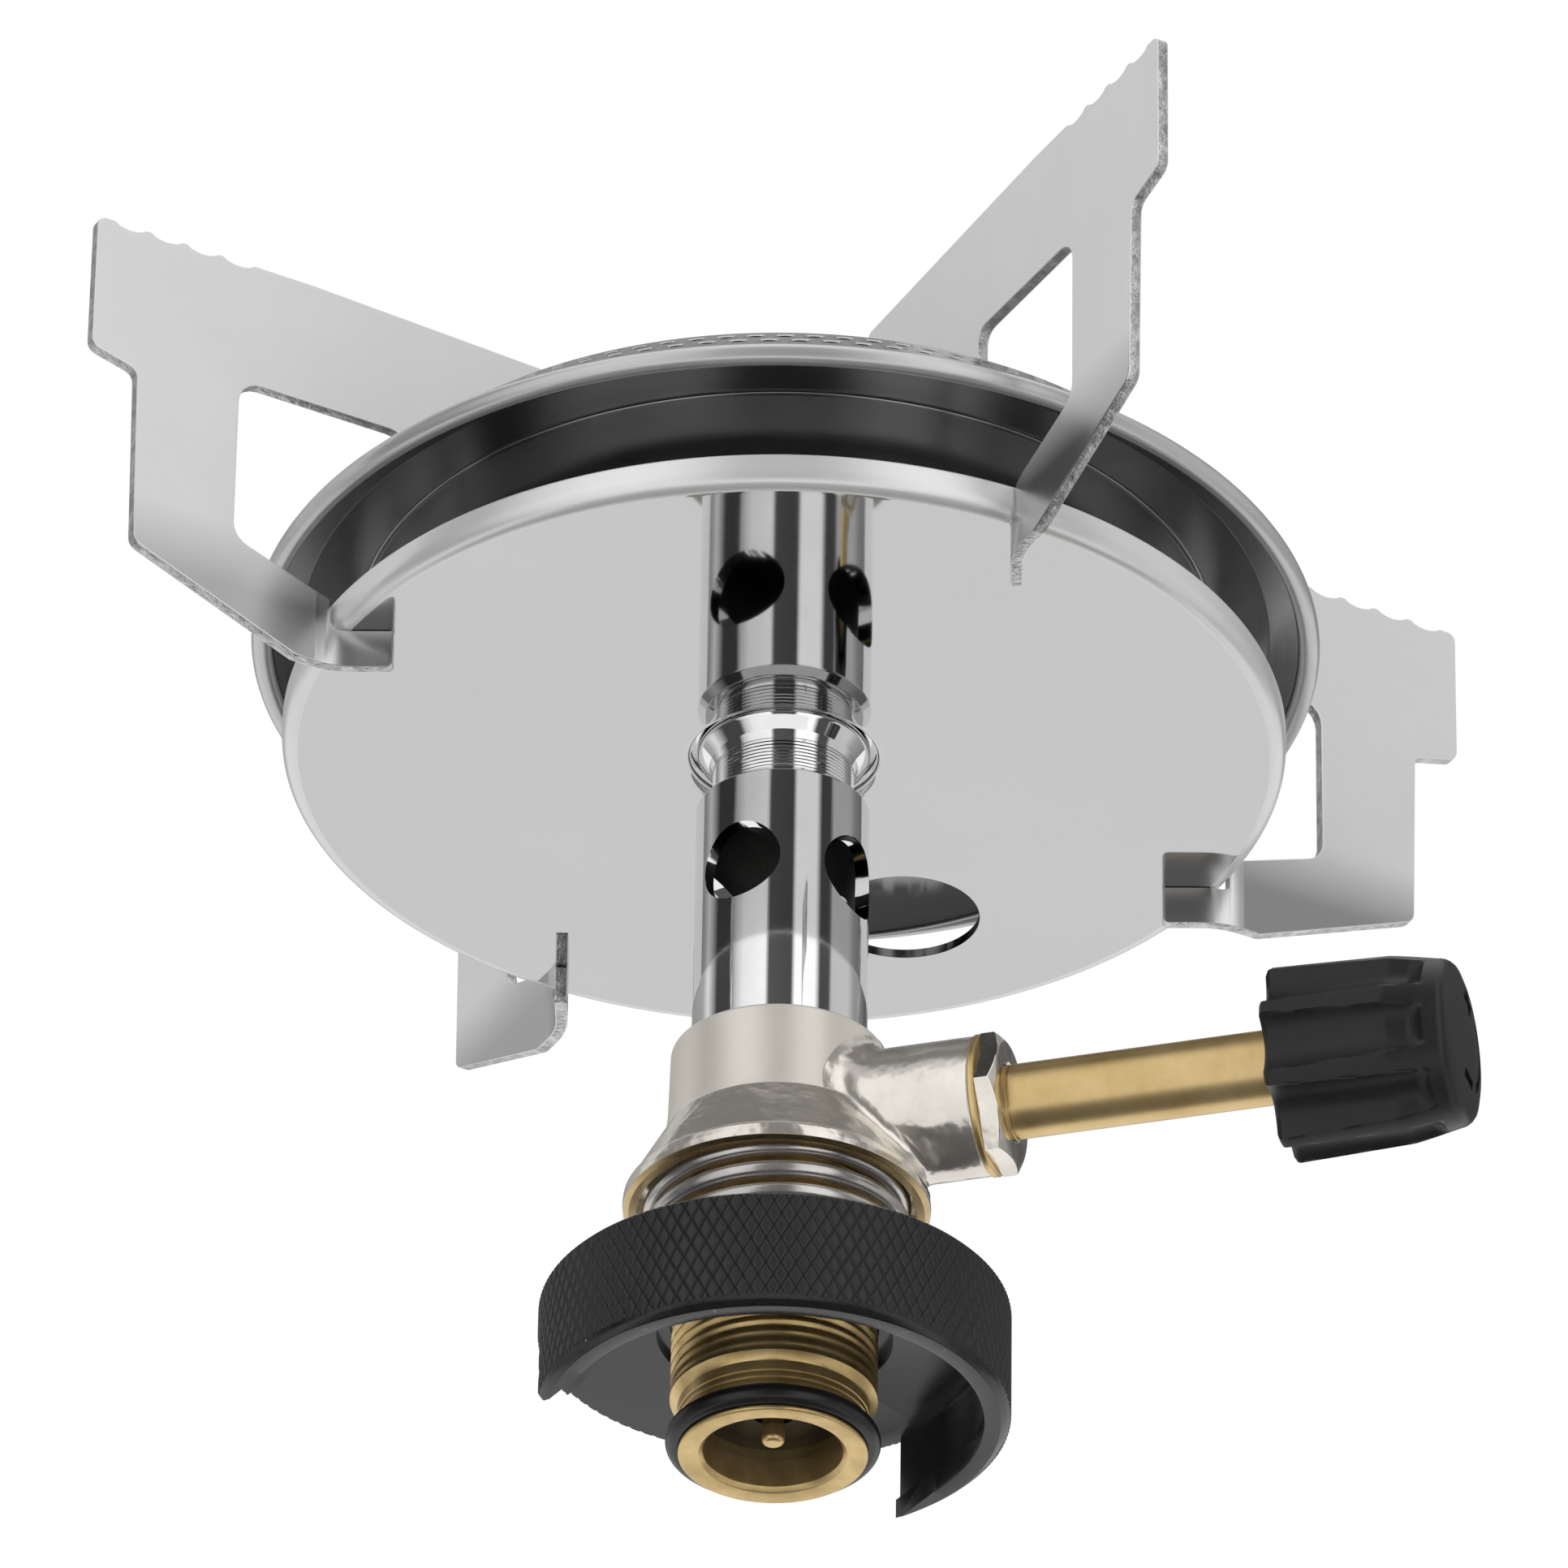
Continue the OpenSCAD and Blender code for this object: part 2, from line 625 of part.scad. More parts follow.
module valve_spindle() {
    stem_r = needle_stem_d / 2;
    tip_r = needle_tip_share * seat_bore_d / 2;
    seat_r = seat_bore_d / 2 - seat_gap;
    cone_len = needle_len / 2;
    thread_r = spindle_thread_d / 2;
    rod_r = spindle_d / 2;
    groove_end = spindle_groove_at + spindle_groove_w;
    mark_r_low = rod_r - mark_groove_depth;
    socket_z = knob_back + spindle_socket;
    color([0.83, 0.66, 0.36]) along_spindle() difference() {
        rotate_extrude() polygon([
            [0, seat_at - cone_len], [tip_r, seat_at - cone_len], [seat_r, seat_at],
            [stem_r, seat_at + cone_len], [stem_r, spindle_thread_at], [thread_r, spindle_thread_at],
            [thread_r, spindle_groove_at], [spindle_groove_r, spindle_groove_at],
            [spindle_groove_r, groove_end], [rod_r, groove_end], [rod_r, mark_groove_at],
            [mark_r_low, mark_groove_at], [mark_r_low, mark_groove_at + mark_groove_w],
            [rod_r, mark_groove_at + mark_groove_w], [rod_r, socket_z],
            [spindle_end_d / 2, socket_z], [spindle_end_d / 2, socket_z + spindle_end_len],
            [0, socket_z + spindle_end_len]
        ]);
        translate([spindle_end_d / 2 - spindle_flat, -spindle_d / 2, socket_z])
            cube([spindle_d, spindle_d, spindle_end_len + cut]);
    }
}

// Plus, minus and an arc between them, cut into the knob's face
module knob_marks() {
    low = knob_end - knob_dome - mark_depth;
    deep = mark_depth + knob_dome + cut;
    translate([-mark_r, 0, low]) {
        translate([-mark_w / 2, -mark_len / 2, 0]) cube([mark_w, mark_len, deep]);
        translate([-mark_len / 2, -mark_w / 2, 0]) cube([mark_len, mark_w, deep]);
    }
    translate([mark_r - mark_w / 2, -mark_len / 2, low]) cube([mark_w, mark_len, deep]);
    rotate([0, 0, 90 - mark_arc / 2]) rotate_extrude(angle = mark_arc)
        translate([mark_r, low]) square([mark_w, deep]);
}

module control_knob() {
    back_r = knob_d / 2;
    front_r = knob_front_d / 2;
    waist_z = knob_back + knob_waist_share * knob_len;
    edge_z = knob_end - knob_dome - knob_edge;
    socket_z = knob_back + spindle_socket;
    end_d = spindle_end_d + 2 * seat_gap;
    color([0.16, 0.16, 0.17]) along_spindle() difference() {
        rotate_extrude() polygon(concat(
            [[0, knob_back], [back_r, knob_back], [knob_waist_d / 2, waist_z]],
            arc([front_r - knob_edge, edge_z], knob_edge, 0, 80),
            [[0, knob_end]]
        ));
        for (i = [0 : knob_flutes - 1])
            rotate([0, 0, (i + flute_phase_share) * 360 / knob_flutes])
                translate([flute_axis_r, 0, knob_back - cut]) {
                    cylinder(r = flute_r, h = knob_len - flute_stop + cut);
                    translate([0, 0, knob_len - flute_stop + cut])
                        cylinder(r1 = flute_r, r2 = flute_end_r, h = flute_stop / 2);
                }
        translate([0, 0, knob_back - cut]) cylinder(d = spindle_d + 2 * seat_gap, h = spindle_socket + cut);
        difference() {
            translate([0, 0, socket_z - seat_gap]) cylinder(d = end_d, h = spindle_end_len + 2 * seat_gap);
            translate([end_d / 2 - spindle_flat, -spindle_d / 2, socket_z])
                cube([spindle_d, spindle_d, spindle_end_len + cut]);
        }
        difference() {
            translate([0, 0, knob_back - cut])
                cylinder(r = flute_root_share * back_r - knob_shell / 2, h = knob_hollow + cut);
            translate([0, 0, knob_back - 2 * cut]) cylinder(d = knob_hub_d, h = knob_hollow + 4 * cut);
        }
        knob_marks();
    }
}

module gas_jet() {
    hex_r = jet_af / 2 / cos(30);
    top = jet_hex_h + jet_tip_h;
    color([0.78, 0.62, 0.32]) translate([0, 0, tube_z]) difference() {
        union() {
            translate([0, 0, -jet_thread_len + seat_gap]) cylinder(d = jet_thread_d, h = jet_thread_len);
            cylinder(r = hex_r, h = jet_hex_h, $fn = 6);
            translate([0, 0, jet_hex_h]) cylinder(d1 = jet_thread_d, d2 = jet_tip_d, h = jet_tip_h);
        }
        translate([0, 0, -jet_thread_len - cut])
            cylinder(d = jet_bore_d, h = top + jet_thread_len + cut - jet_orifice_len);
        cylinder(d = jet_orifice_d, h = top + cut);
    }
}

module mixing_tube() {
    tube_r = tube_d / 2;
    neck_r = tube_neck_d / 2;
    bore_top = tube_top_z - throat_drop;
    round_z = collar_z + collar_fillet + collar_round;
    stud_z = floor_z + stud_h;
    color([0.84, 0.84, 0.85]) difference() {
        rotate_extrude() polygon(concat(
            [[0, tube_z], [tube_r, tube_z], [tube_r, tube_top_z - tube_chamfer],
             [tube_r - tube_chamfer, tube_top_z], [neck_r, tube_top_z], [neck_r, collar_z],
             [neck_r + collar_fillet / 2, collar_z + collar_fillet]],
            arc([collar_d / 2 - collar_round / 2, round_z], collar_round / 2, -60, 0),
            [[collar_d / 2, round_z], [collar_seat_d / 2, round_z + collar_round / 4],
             [collar_seat_d / 2, flange_z], [flange_d / 2, flange_z], [flange_d / 2, floor_z],
             [neck_r, floor_z], [neck_r, stud_z], [0, stud_z]]
        ));
        translate([0, 0, tube_z - cut]) cylinder(d = tube_d - 2 * tube_wall, h = bore_top - tube_z + cut);
        translate([0, 0, bore_top]) cylinder(d1 = tube_d - 2 * tube_wall, d2 = throat_d, h = throat_drop);
        translate([0, 0, bore_top]) cylinder(d = throat_d, h = stud_z - bore_top + cut);
        for (i = [0 : air_holes - 1])
            rotate([0, 0, air_hole_angle + i * 360 / air_holes])
                translate([0, 0, air_hole_z])
                    rotate([0, 90, 0])
                        cylinder(d = air_hole_d, h = tube_r + cut);
    }
}

module heat_plate() {
    floor_top = plate_z + plate_t;
    neck_r = plate_hole_r + plate_t;
    neck_top = flange_z - seat_gap;
    color([0.80, 0.80, 0.80]) difference() {
        rotate_extrude() polygon(concat(
            arc([plate_hole_r + plate_hole_round, plate_z + plate_hole_round], plate_hole_round, 180, 270),
            arc([plate_r - plate_round, plate_z + plate_round], plate_round, -90, 0),
            [[plate_r, plate_top_z], [plate_r - plate_t, plate_top_z]],
            arc([plate_r - plate_round, plate_z + plate_round], plate_round - plate_t, 0, -90),
            [[neck_r + plate_hole_round, floor_top], [neck_r, floor_top + plate_hole_round / 2],
             [neck_r, neck_top], [plate_hole_r, neck_top]]
        ));
        rotate([0, 0, sight_hole_angle]) translate([sight_hole_r, 0, plate_z - cut])
            cylinder(d = sight_hole_d, h = plate_t + 2 * cut);
    }
}

module burner_cup() {
    t = burner_t;
    edge_r = bead_mid_r - bead_r - seat_gap;
    hole_r = tube_neck_d / 2 + seat_gap;
    round_z = floor_z + cup_round;
    color([0.70, 0.70, 0.71]) rotate_extrude() polygon(concat(
        [[hole_r, floor_z]],
        arc([cup_r - cup_round, round_z], cup_round, -90, 0),
        [[cup_r, cup_flange_z], [flange_bend_r, cup_flange_z - flange_sag],
         [edge_r, bead_z], [edge_r, bead_z + t],
         [flange_bend_r, cup_flange_z - flange_sag + t], [cup_r - t, cup_flange_z + t]],
        arc([cup_r - cup_round, round_z], cup_round - t, 0, -90),
        [[hole_r, floor_z + t]]
    ));
}

module diffuser_ring() {
    low = floor_z + burner_t + seat_gap;
    high = cap_top_z - burner_t - seat_gap;
    color([0.66, 0.66, 0.66]) difference() {
        translate([0, 0, low]) washer(2 * diffuser_r, 2 * (diffuser_r - diffuser_t), high - low);
        for (i = [0 : diffuser_holes - 1])
            rotate([0, 0, i * 360 / diffuser_holes])
                translate([diffuser_r - diffuser_t - cut, 0, (low + high) / 2])
                    rotate([0, 90, 0])
                        cylinder(d = diffuser_hole_d, h = diffuser_t + 2 * cut);
    }
}

module burner_nut() {
    low = floor_z + burner_t + seat_gap;
    color([0.72, 0.58, 0.30]) translate([0, 0, low]) difference() {
        cylinder(d = burner_nut_af / cos(30), h = burner_nut_h, $fn = 6);
        translate([0, 0, -cut]) cylinder(d = tube_neck_d + 2 * seat_gap, h = burner_nut_h + 2 * cut);
    }
}

// Slope of the cap between the bead and the flat top
slope_low = [bead_mid_r + bead_r / 3, bead_z + bead_r];
slope_high = [cap_top_r + cap_round / 2, cap_top_z - cap_round / 2];
slope_tilt = atan2(slope_low[0] - slope_high[0], slope_high[1] - slope_low[1]);

module burner_cap() {
    t = burner_t;
    dish_r = cap_dish_d / 2;
    inner_shift = t / cos(slope_tilt);
    color([0.72, 0.72, 0.73]) difference() {
        rotate_extrude() polygon(concat(
            [[0, cap_top_z - cap_dish_h], [dish_r - cap_dish_wall, cap_top_z - cap_dish_h],
             [dish_r, cap_top_z], [cap_top_r - cap_round / 2, cap_top_z], slope_high, slope_low],
            arc([bead_mid_r, bead_z], bead_r, 55, -235, 20),
            [slope_low - [inner_shift, 0], slope_high - [inner_shift, 0],
             [cap_top_r - cap_round, cap_top_z - t], [dish_r + t / 2, cap_top_z - t],
             [dish_r - cap_dish_wall + t / 2, cap_top_z - cap_dish_h - t],
             [0, cap_top_z - cap_dish_h - t]]
        ));
        for (row = [0, 1], i = [0 : ports - 1])
            let (spot = slope_low + port_row_shares[row] * (slope_high - slope_low))
            rotate([0, 0, (i + row / 2) * 360 / ports])
                translate([spot[0], 0, spot[1]])
                    rotate([0, 90 - slope_tilt, 0])
                        translate([0, 0, -2 * t])
                            cylinder(d = port_d, h = 4 * t, $fn = 16);
        for (i = [0 : supports - 1])
            rotate([0, 0, i * 360 / supports])
                translate([leg_out - tab_in - tab_w - tab_gap, -support_offset - support_t / 2 - tab_gap,
                           cap_top_z - t - cut])
                    cube([tab_w + 2 * tab_gap, support_t + 2 * tab_gap, t + 2 * cut]);
    }
}

// One anti-slip notch in the top edge, its middle at u
function notch_points(u) = [
    [u - notch_pitch / 2 + notch_land / 2, support_top_z],
    [u - notch_pitch / 4, support_top_z - 0.75 * notch_depth],
    [u, support_top_z - notch_depth],
    [u + notch_pitch / 4, support_top_z - 0.75 * notch_depth],
    [u + notch_pitch / 2 - notch_land / 2, support_top_z]
];

module support_outline() {
    notch_start = support_reach - corner_round - notch_land - notches * notch_pitch;
    post_in = support_reach - support_step_w - post_w;
    slot_z = plate_z - slot_top_gap;
    slot_r = plate_r + rim_gap;
    leg_z = cap_top_z + leg_gap;
    leg_in = leg_out - leg_w;
    tab_out = leg_out - tab_in;
    polygon(concat(
        [[leg_in - leg_lean, support_top_z - top_fall], [notch_start - top_land, support_top_z]],
        [for (i = [0 : notches - 1]) each notch_points(notch_start + (i + 0.5) * notch_pitch)],
        arc([support_reach - corner_round, support_top_z - corner_round], corner_round, 90, 0, 3),
        [[support_reach, support_step_z],
         [support_reach - support_step_w, support_step_z - support_step_drop],
         [support_reach - support_step_w - support_t / 3, plate_z + post_foot_rise],
         [foot_kink_r, foot_z], [plate_r - foot_in, foot_z], [plate_r - foot_in, slot_z],
         [slot_r, slot_z], [slot_r, plate_top_z + slot_top_gap]],
        arc([post_in - window_round, plate_top_z + window_foot_rise + window_round],
            window_round, -70, 0, 4),
        arc([post_in - window_round, window_top_z - window_round], window_round, 0, 90, 4),
        arc([leg_out + window_round / 2, window_top_z - window_round / 2], window_round / 2, 90, 180, 3),
        [[leg_out, leg_z], [tab_out, leg_z], [tab_out, leg_z - tab_depth],
         [tab_out - tab_w, leg_z - tab_depth], [tab_out - tab_w, leg_z], [leg_in, leg_z]]
    ));
}

module pot_support(i) {
    color([0.83, 0.83, 0.83]) rotate([0, 0, i * 360 / supports])
        translate([0, support_t / 2 - support_offset, 0])
            rotate([90, 0, 0])
                linear_extrude(height = support_t) support_outline();
}

nipple();
nipple_o_ring();
inlet_seal();
depressor_pin();
inlet_filter();
locking_ring();
slip_washer();
ring_spring();
valve_body();
gland_washer();
packing_nut();
spindle_seal();
valve_spindle();
control_knob();
gas_jet();
mixing_tube();
heat_plate();
burner_cup();
diffuser_ring();
burner_nut();
burner_cap();
pot_support(0);  // pot_support_1
pot_support(1);  // pot_support_2
pot_support(2);  // pot_support_3
pot_support(3);  // pot_support_4
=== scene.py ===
"""Blender scene for the cartridge-top gas stove head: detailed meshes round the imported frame.

Sizes in the code are in millimetres, in the frame of the part: origin at the nipple's mouth, +Z up
the stove's axis. Materials, lights and the camera are in metres. An outline is a list of
(radius, z) or (x, y), with a third number where that corner is rounded.
"""
import json
import math

import bmesh
import bpy
from mathutils import Matrix, Vector


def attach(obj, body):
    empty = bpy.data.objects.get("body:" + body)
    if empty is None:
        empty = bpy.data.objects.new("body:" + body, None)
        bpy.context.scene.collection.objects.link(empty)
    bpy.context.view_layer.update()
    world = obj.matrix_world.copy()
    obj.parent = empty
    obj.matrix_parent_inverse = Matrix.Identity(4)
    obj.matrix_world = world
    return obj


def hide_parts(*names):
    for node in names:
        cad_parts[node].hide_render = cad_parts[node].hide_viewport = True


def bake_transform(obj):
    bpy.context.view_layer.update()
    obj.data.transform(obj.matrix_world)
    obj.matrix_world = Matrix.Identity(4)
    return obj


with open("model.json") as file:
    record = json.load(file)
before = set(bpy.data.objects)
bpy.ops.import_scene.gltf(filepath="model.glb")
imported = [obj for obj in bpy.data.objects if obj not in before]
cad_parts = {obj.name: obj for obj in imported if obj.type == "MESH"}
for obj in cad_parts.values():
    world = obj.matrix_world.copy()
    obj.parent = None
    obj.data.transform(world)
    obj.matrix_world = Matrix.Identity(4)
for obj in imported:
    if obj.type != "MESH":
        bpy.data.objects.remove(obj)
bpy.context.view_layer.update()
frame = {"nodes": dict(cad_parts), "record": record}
MM = 0.001
TAU = 2 * math.pi
TINY = 1e-6

# Sizes repeated from the part's source
KNOB_DIR = math.radians(-45)
MOUTH_DIR = math.radians(93.5)
SPINDLE_Z = 29.4
CEILING_Z = 23.6
BODY_TOP = 36.34
TUBE_Z, TUBE_TOP = 33.0, 60.07
COLLAR_Z = 63.27
PLATE_Z = 64.395
FLANGE_Z, FLOOR_Z = 66.67, 68.07
BEAD_MID_R, BEAD_Z = 42.45, 75.10
CAP_TOP_Z = 81.07
SUPPORT_TOP_Z = 96.755

# ---------------------------------------------------------------- mesh making


def piece(name, bm, body, material, hides, smooth=40):
    """Turns a bmesh in millimetres into a piece, which rides on a body when one is named."""
    bmesh.ops.scale(bm, vec=(MM, MM, MM), verts=bm.verts)
    bmesh.ops.recalc_face_normals(bm, faces=bm.faces)
    mesh = bpy.data.meshes.new(name)
    bm.to_mesh(mesh)
    bm.free()
    for p in mesh.polygons:
        p.use_smooth = True
    mesh.set_sharp_from_angle(angle=math.radians(smooth))
    obj = bpy.data.objects.new(name, mesh)
    bpy.context.scene.collection.objects.link(obj)
    obj.data.materials.append(material)
    if body:
        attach(obj, body)
    if hides:
        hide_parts(*hides)
    return obj


def repaint(obj, material, where):
    """Adds a material to a piece, on the faces whose centre in millimetres passes a test."""
    obj.data.materials.append(material)
    index = len(obj.data.materials) - 1
    for face in obj.data.polygons:
        if where(face.center / MM):
            face.material_index = index


def rounded(points, steps=4, hold=0.06):
    """Rounds the corners of an outline. Points are (x, y) or (x, y, radius).

    Where there is room, a point at the distance hold beyond each arc keeps the flats flat.
    """
    out = []
    n = len(points)
    for i, p in enumerate(points):
        c = Vector(p[:2])
        radius = p[2] if len(p) > 2 else 0
        a, b = Vector(points[i - 1][:2]), Vector(points[(i + 1) % n][:2])
        to_a, to_b = a - c, b - c
        if not radius or to_a.length < TINY or to_b.length < TINY:
            out.append(c)
            continue
        ua, ub = to_a.normalized(), to_b.normalized()
        half = math.acos(max(-1, min(1, ua.dot(ub)))) / 2
        if half > math.pi / 2 - 0.02:
            out.append(c)
            continue
        reach = min(radius / math.tan(half), to_a.length * 0.49, to_b.length * 0.49)
        r = reach * math.tan(half)
        centre = c + (ua + ub).normalized() * (r / math.sin(half))
        start, end = c + ua * reach, c + ub * reach
        if hold and to_a.length * 0.5 - reach > hold:
            out.append(start + ua * hold)
        va, vb = start - centre, end - centre
        turn = va.angle_signed(vb) if va.length and vb.length else 0
        for k in range(steps + 1):
            t = -turn * k / steps
            cos, sin = math.cos(t), math.sin(t)
            out.append(centre + Vector((va.x * cos - va.y * sin, va.x * sin + va.y * cos)))
        if hold and to_b.length * 0.5 - reach > hold:
            out.append(end + ub * hold)
    return out


def polar(r, angle):
    return r * math.cos(angle), r * math.sin(angle)


def circle(r, z, segs):
    """Points round the Z axis, or the one point of a pole."""
    if r < TINY:
        return [(0, 0, z)]
    return [(*polar(r, TAU * k / segs), z) for k in range(segs)]


def circle_rings(outline, segs=144):
    return [circle(p[0], p[1], segs) for p in outline]


def stitch(bm, rings, closed=True):
    """Faces between rings of vertices. A ring of one vertex is a pole."""
    for a, b in zip(rings, rings[1:] + (rings[:1] if closed else [])):
        segs = max(len(a), len(b))
        if segs == 1:
            continue
        for k in range(segs):
            j = (k + 1) % segs
            if len(a) == 1:
                bm.faces.new((a[0], b[j], b[k]))
            elif len(b) == 1:
                bm.faces.new((a[k], a[j], b[0]))
            else:
                bm.faces.new((a[k], a[j], b[j], b[k]))


def ring_mesh(rings, closed=True):
    """A skin over a list of rings of points."""
    bm = bmesh.new()
    stitch(bm, [[bm.verts.new(p) for p in ring] for ring in rings], closed)
    return bm


def lathe(outline, segs=192):
    """A body of revolution about Z from a closed outline of (r, z)."""
    return ring_mesh(circle_rings(outline, segs))


def drum(r, z0, z1, segs=192):
    return lathe([(0, z0), (r, z0), (r, z1), (0, z1)], segs)


def torus(mid_r, r, z, sides=32):
    turns = [TAU * k / sides for k in range(sides)]
    return lathe([(mid_r + r * math.cos(a), z + r * math.sin(a)) for a in turns], 160)


def extruded(outline, height, z):
    """A prism from an outline in X and Y."""
    bm = bmesh.new()
    low = [bm.verts.new((p[0], p[1], z)) for p in outline]
    high = [bm.verts.new((p[0], p[1], z + height)) for p in outline]
    n = len(outline)
    bm.faces.new(low[::-1])
    bm.faces.new(high)
    for k in range(n):
        j = (k + 1) % n
        bm.faces.new((low[k], low[j], high[j], high[k]))
    return bm


def moved(bm, *matrices):
    for m in matrices:
        bmesh.ops.transform(bm, matrix=m, verts=bm.verts)
    return bm


def along_spindle(bm):
    """Lays a body of revolution along the spindle, its Z running out from the stove's axis."""
    aside = Matrix.Translation((0, 0, SPINDLE_Z)) @ Matrix.Rotation(KNOB_DIR, 4, "Z")
    return moved(bm, aside @ Matrix.Rotation(math.pi / 2, 4, "Y"))


def as_object(name, bm):
    """A loose object with a bmesh's faces, for cutting with or for the stage."""
    mesh = bpy.data.meshes.new(name)
    bmesh.ops.recalc_face_normals(bm, faces=bm.faces)
    bm.to_mesh(mesh)
    bm.free()
    obj = bpy.data.objects.new(name, mesh)
    bpy.context.scene.collection.objects.link(obj)
    return obj


def carve(bm, cutters, operation="DIFFERENCE"):
    """Cuts bmeshes out of a bmesh, or joins them to it, and returns the result without slits."""
    base = as_object("carved", bm)
    tools = [as_object("cutter", c) for c in cutters]
    for tool in tools:
        m = base.modifiers.new("cut", "BOOLEAN")
        m.operation = operation
        m.object = tool
        m.solver = "EXACT"
    graph = bpy.context.evaluated_depsgraph_get()
    result = bmesh.new()
    result.from_mesh(base.evaluated_get(graph).to_mesh())
    for o in [base] + tools:
        mesh = o.data
        bpy.data.objects.remove(o)
        bpy.data.meshes.remove(mesh)
    bmesh.ops.remove_doubles(result, verts=result.verts, dist=1e-5)
    bmesh.ops.holes_fill(result, edges=[e for e in result.edges if e.is_boundary], sides=4)
    return result


# ---------------------------------------------------------------- materials


class Nodes:
    """A small helper that writes node trees in a line or two."""

    def __init__(self, name):
        self.m = bpy.data.materials.new(name)
        self.m.use_nodes = True
        self.t = self.m.node_tree
        self.shader = self.t.nodes["Principled BSDF"]
        self.co = self.add("ShaderNodeTexCoord").outputs["Object"]

    def add(self, kind, **values):
        n = self.t.nodes.new(kind)
        for k, v in values.items():
            setattr(n, k, v)
        return n

    def link(self, a, b):
        self.t.links.new(a, b)

    def set(self, **values):
        for k, v in values.items():
            self.shader.inputs[k.replace("_", " ")].default_value = v

    def stretch(self, scale, turn):
        """The object's coordinates, turned and then scaled."""
        a = self.add("ShaderNodeMapping")
        a.inputs["Rotation"].default_value = turn
        b = self.add("ShaderNodeMapping")
        b.inputs["Scale"].default_value = scale
        self.link(self.co, a.inputs["Vector"])
        self.link(a.outputs["Vector"], b.inputs["Vector"])
        return b.outputs["Vector"]

    def noise(self, scale, detail=3, rough=0.5, at=None):
        n = self.add("ShaderNodeTexNoise")
        n.inputs["Scale"].default_value = scale
        n.inputs["Detail"].default_value = detail
        n.inputs["Roughness"].default_value = rough
        self.link(at or self.co, n.inputs["Vector"])
        return n.outputs["Fac"]

    def ramp(self, value, stops):
        """stops are (place, value or colour)."""
        n = self.add("ShaderNodeValToRGB")
        e = n.color_ramp.elements
        while len(e) < len(stops):
            e.new(0.5)
        for k, (place, c) in zip(e, stops):
            k.position = place
            k.color = (c, c, c, 1) if isinstance(c, (int, float)) else (*c, 1)
        self.link(value, n.inputs["Fac"])
        return n.outputs["Color"]

    def step(self, value, low, high):
        """0 below low, 1 above high, and a slope between them."""
        return self.ramp(value, [(low, 0.0), (high, 1.0)])

    def spread(self, value, ends):
        """A number that goes from one end to the other over the middle of a noise."""
        return self.ramp(value, [(0.3, ends[0]), (0.7, ends[1])])

    def math(self, op, a, b):
        n = self.add("ShaderNodeMath", operation=op)
        for s, v in zip(n.inputs, (a, b)):
            if isinstance(v, (int, float)):
                s.default_value = v
            else:
                self.link(v, s)
        return n.outputs[0]

    def blend(self, a, share, b):
        """The sum of two values, the first of them with this share."""
        return self.math("ADD", self.math("MULTIPLY", a, share), self.math("MULTIPLY", b, 1 - share))

    def mix(self, fac, a, b):
        n = self.add("ShaderNodeMix", data_type="RGBA", blend_type="MIX")
        for s, v in ((n.inputs[0], fac), (n.inputs[6], a), (n.inputs[7], b)):
            if isinstance(v, tuple):
                s.default_value = (*v, 1)
            else:
                self.link(v, s)
        return n.outputs[2]

    def bump(self, height, strength, distance, after=None):
        n = self.add("ShaderNodeBump")
        n.inputs["Strength"].default_value = strength
        n.inputs["Distance"].default_value = distance
        self.link(height, n.inputs["Height"])
        if after:
            self.link(after, n.inputs["Normal"])
        self.link(n.outputs["Normal"], self.shader.inputs["Normal"])
        return n.outputs["Normal"]

    def colour(self, out):
        self.link(out, self.shader.inputs["Base Color"])

    def roughness(self, out):
        self.link(out, self.shader.inputs["Roughness"])


def grey(level):
    return (level, level, level)


def metal(name, dark, light, rough, patch=180, grain=6000, bump=0.04, depth=0.00002, lines=None,
          wavy=0, metallic=1.0):
    """A metal whose colour and roughness vary in soft patches, with fine grain or turned lines."""
    n = Nodes(name)
    n.set(Metallic=metallic)
    spots = n.noise(patch, 4, 0.6)
    n.colour(n.mix(n.step(spots, 0.35, 0.65), dark, light))
    fine = n.noise(1.0, 3, 0.7, at=n.stretch(*lines)) if lines else n.noise(grain, 2, 0.6)
    n.roughness(n.spread(n.blend(fine, 0.6, spots), rough))
    swell = n.bump(n.noise(wavy, 2, 0.4), 0.7, 0.0003) if wavy else None
    n.bump(fine, bump, depth, after=swell)
    return n.m


# Scale and turn of the coordinates, for lines left by a tool that went round the axis
TURNED = ((300, 300, 9000), (0, 0, 0))
TURNED_SPINDLE = ((14000, 150, 150), (0, 0, -KNOB_DIR))
SPUN_EDGE = ((80, 80, 9000), (0, 0, 0))
SPUN_CUP = ((80, 80, 7000), (0, 0, 0))

m_worn_brass = metal(
    "worn_brass", (0.54, 0.385, 0.165), (0.82, 0.605, 0.285), (0.28, 0.40),
    patch=260, lines=TURNED, bump=0.25, metallic=0.85)
m_cut_brass = metal(
    "cut_brass", (0.52, 0.39, 0.20), (0.66, 0.51, 0.28), (0.2, 0.34),
    lines=TURNED, bump=0.2, depth=0.00001)
m_brass = metal(
    "turned_brass", (0.70, 0.50, 0.22), (0.84, 0.63, 0.31), (0.28, 0.38),
    lines=TURNED_SPINDLE, bump=0.45, depth=0.000015, metallic=0.85)
m_bronze = metal(
    "sintered_bronze", (0.30, 0.21, 0.12), (0.60, 0.46, 0.30), (0.4, 0.7),
    grain=3500, bump=0.8, depth=0.00015)
m_nickel = metal(
    "nickel_cast", (0.80, 0.755, 0.69), (0.92, 0.875, 0.80), (0.16, 0.26),
    patch=140, grain=2600, bump=0.2, depth=0.00004, wavy=420, metallic=0.75)
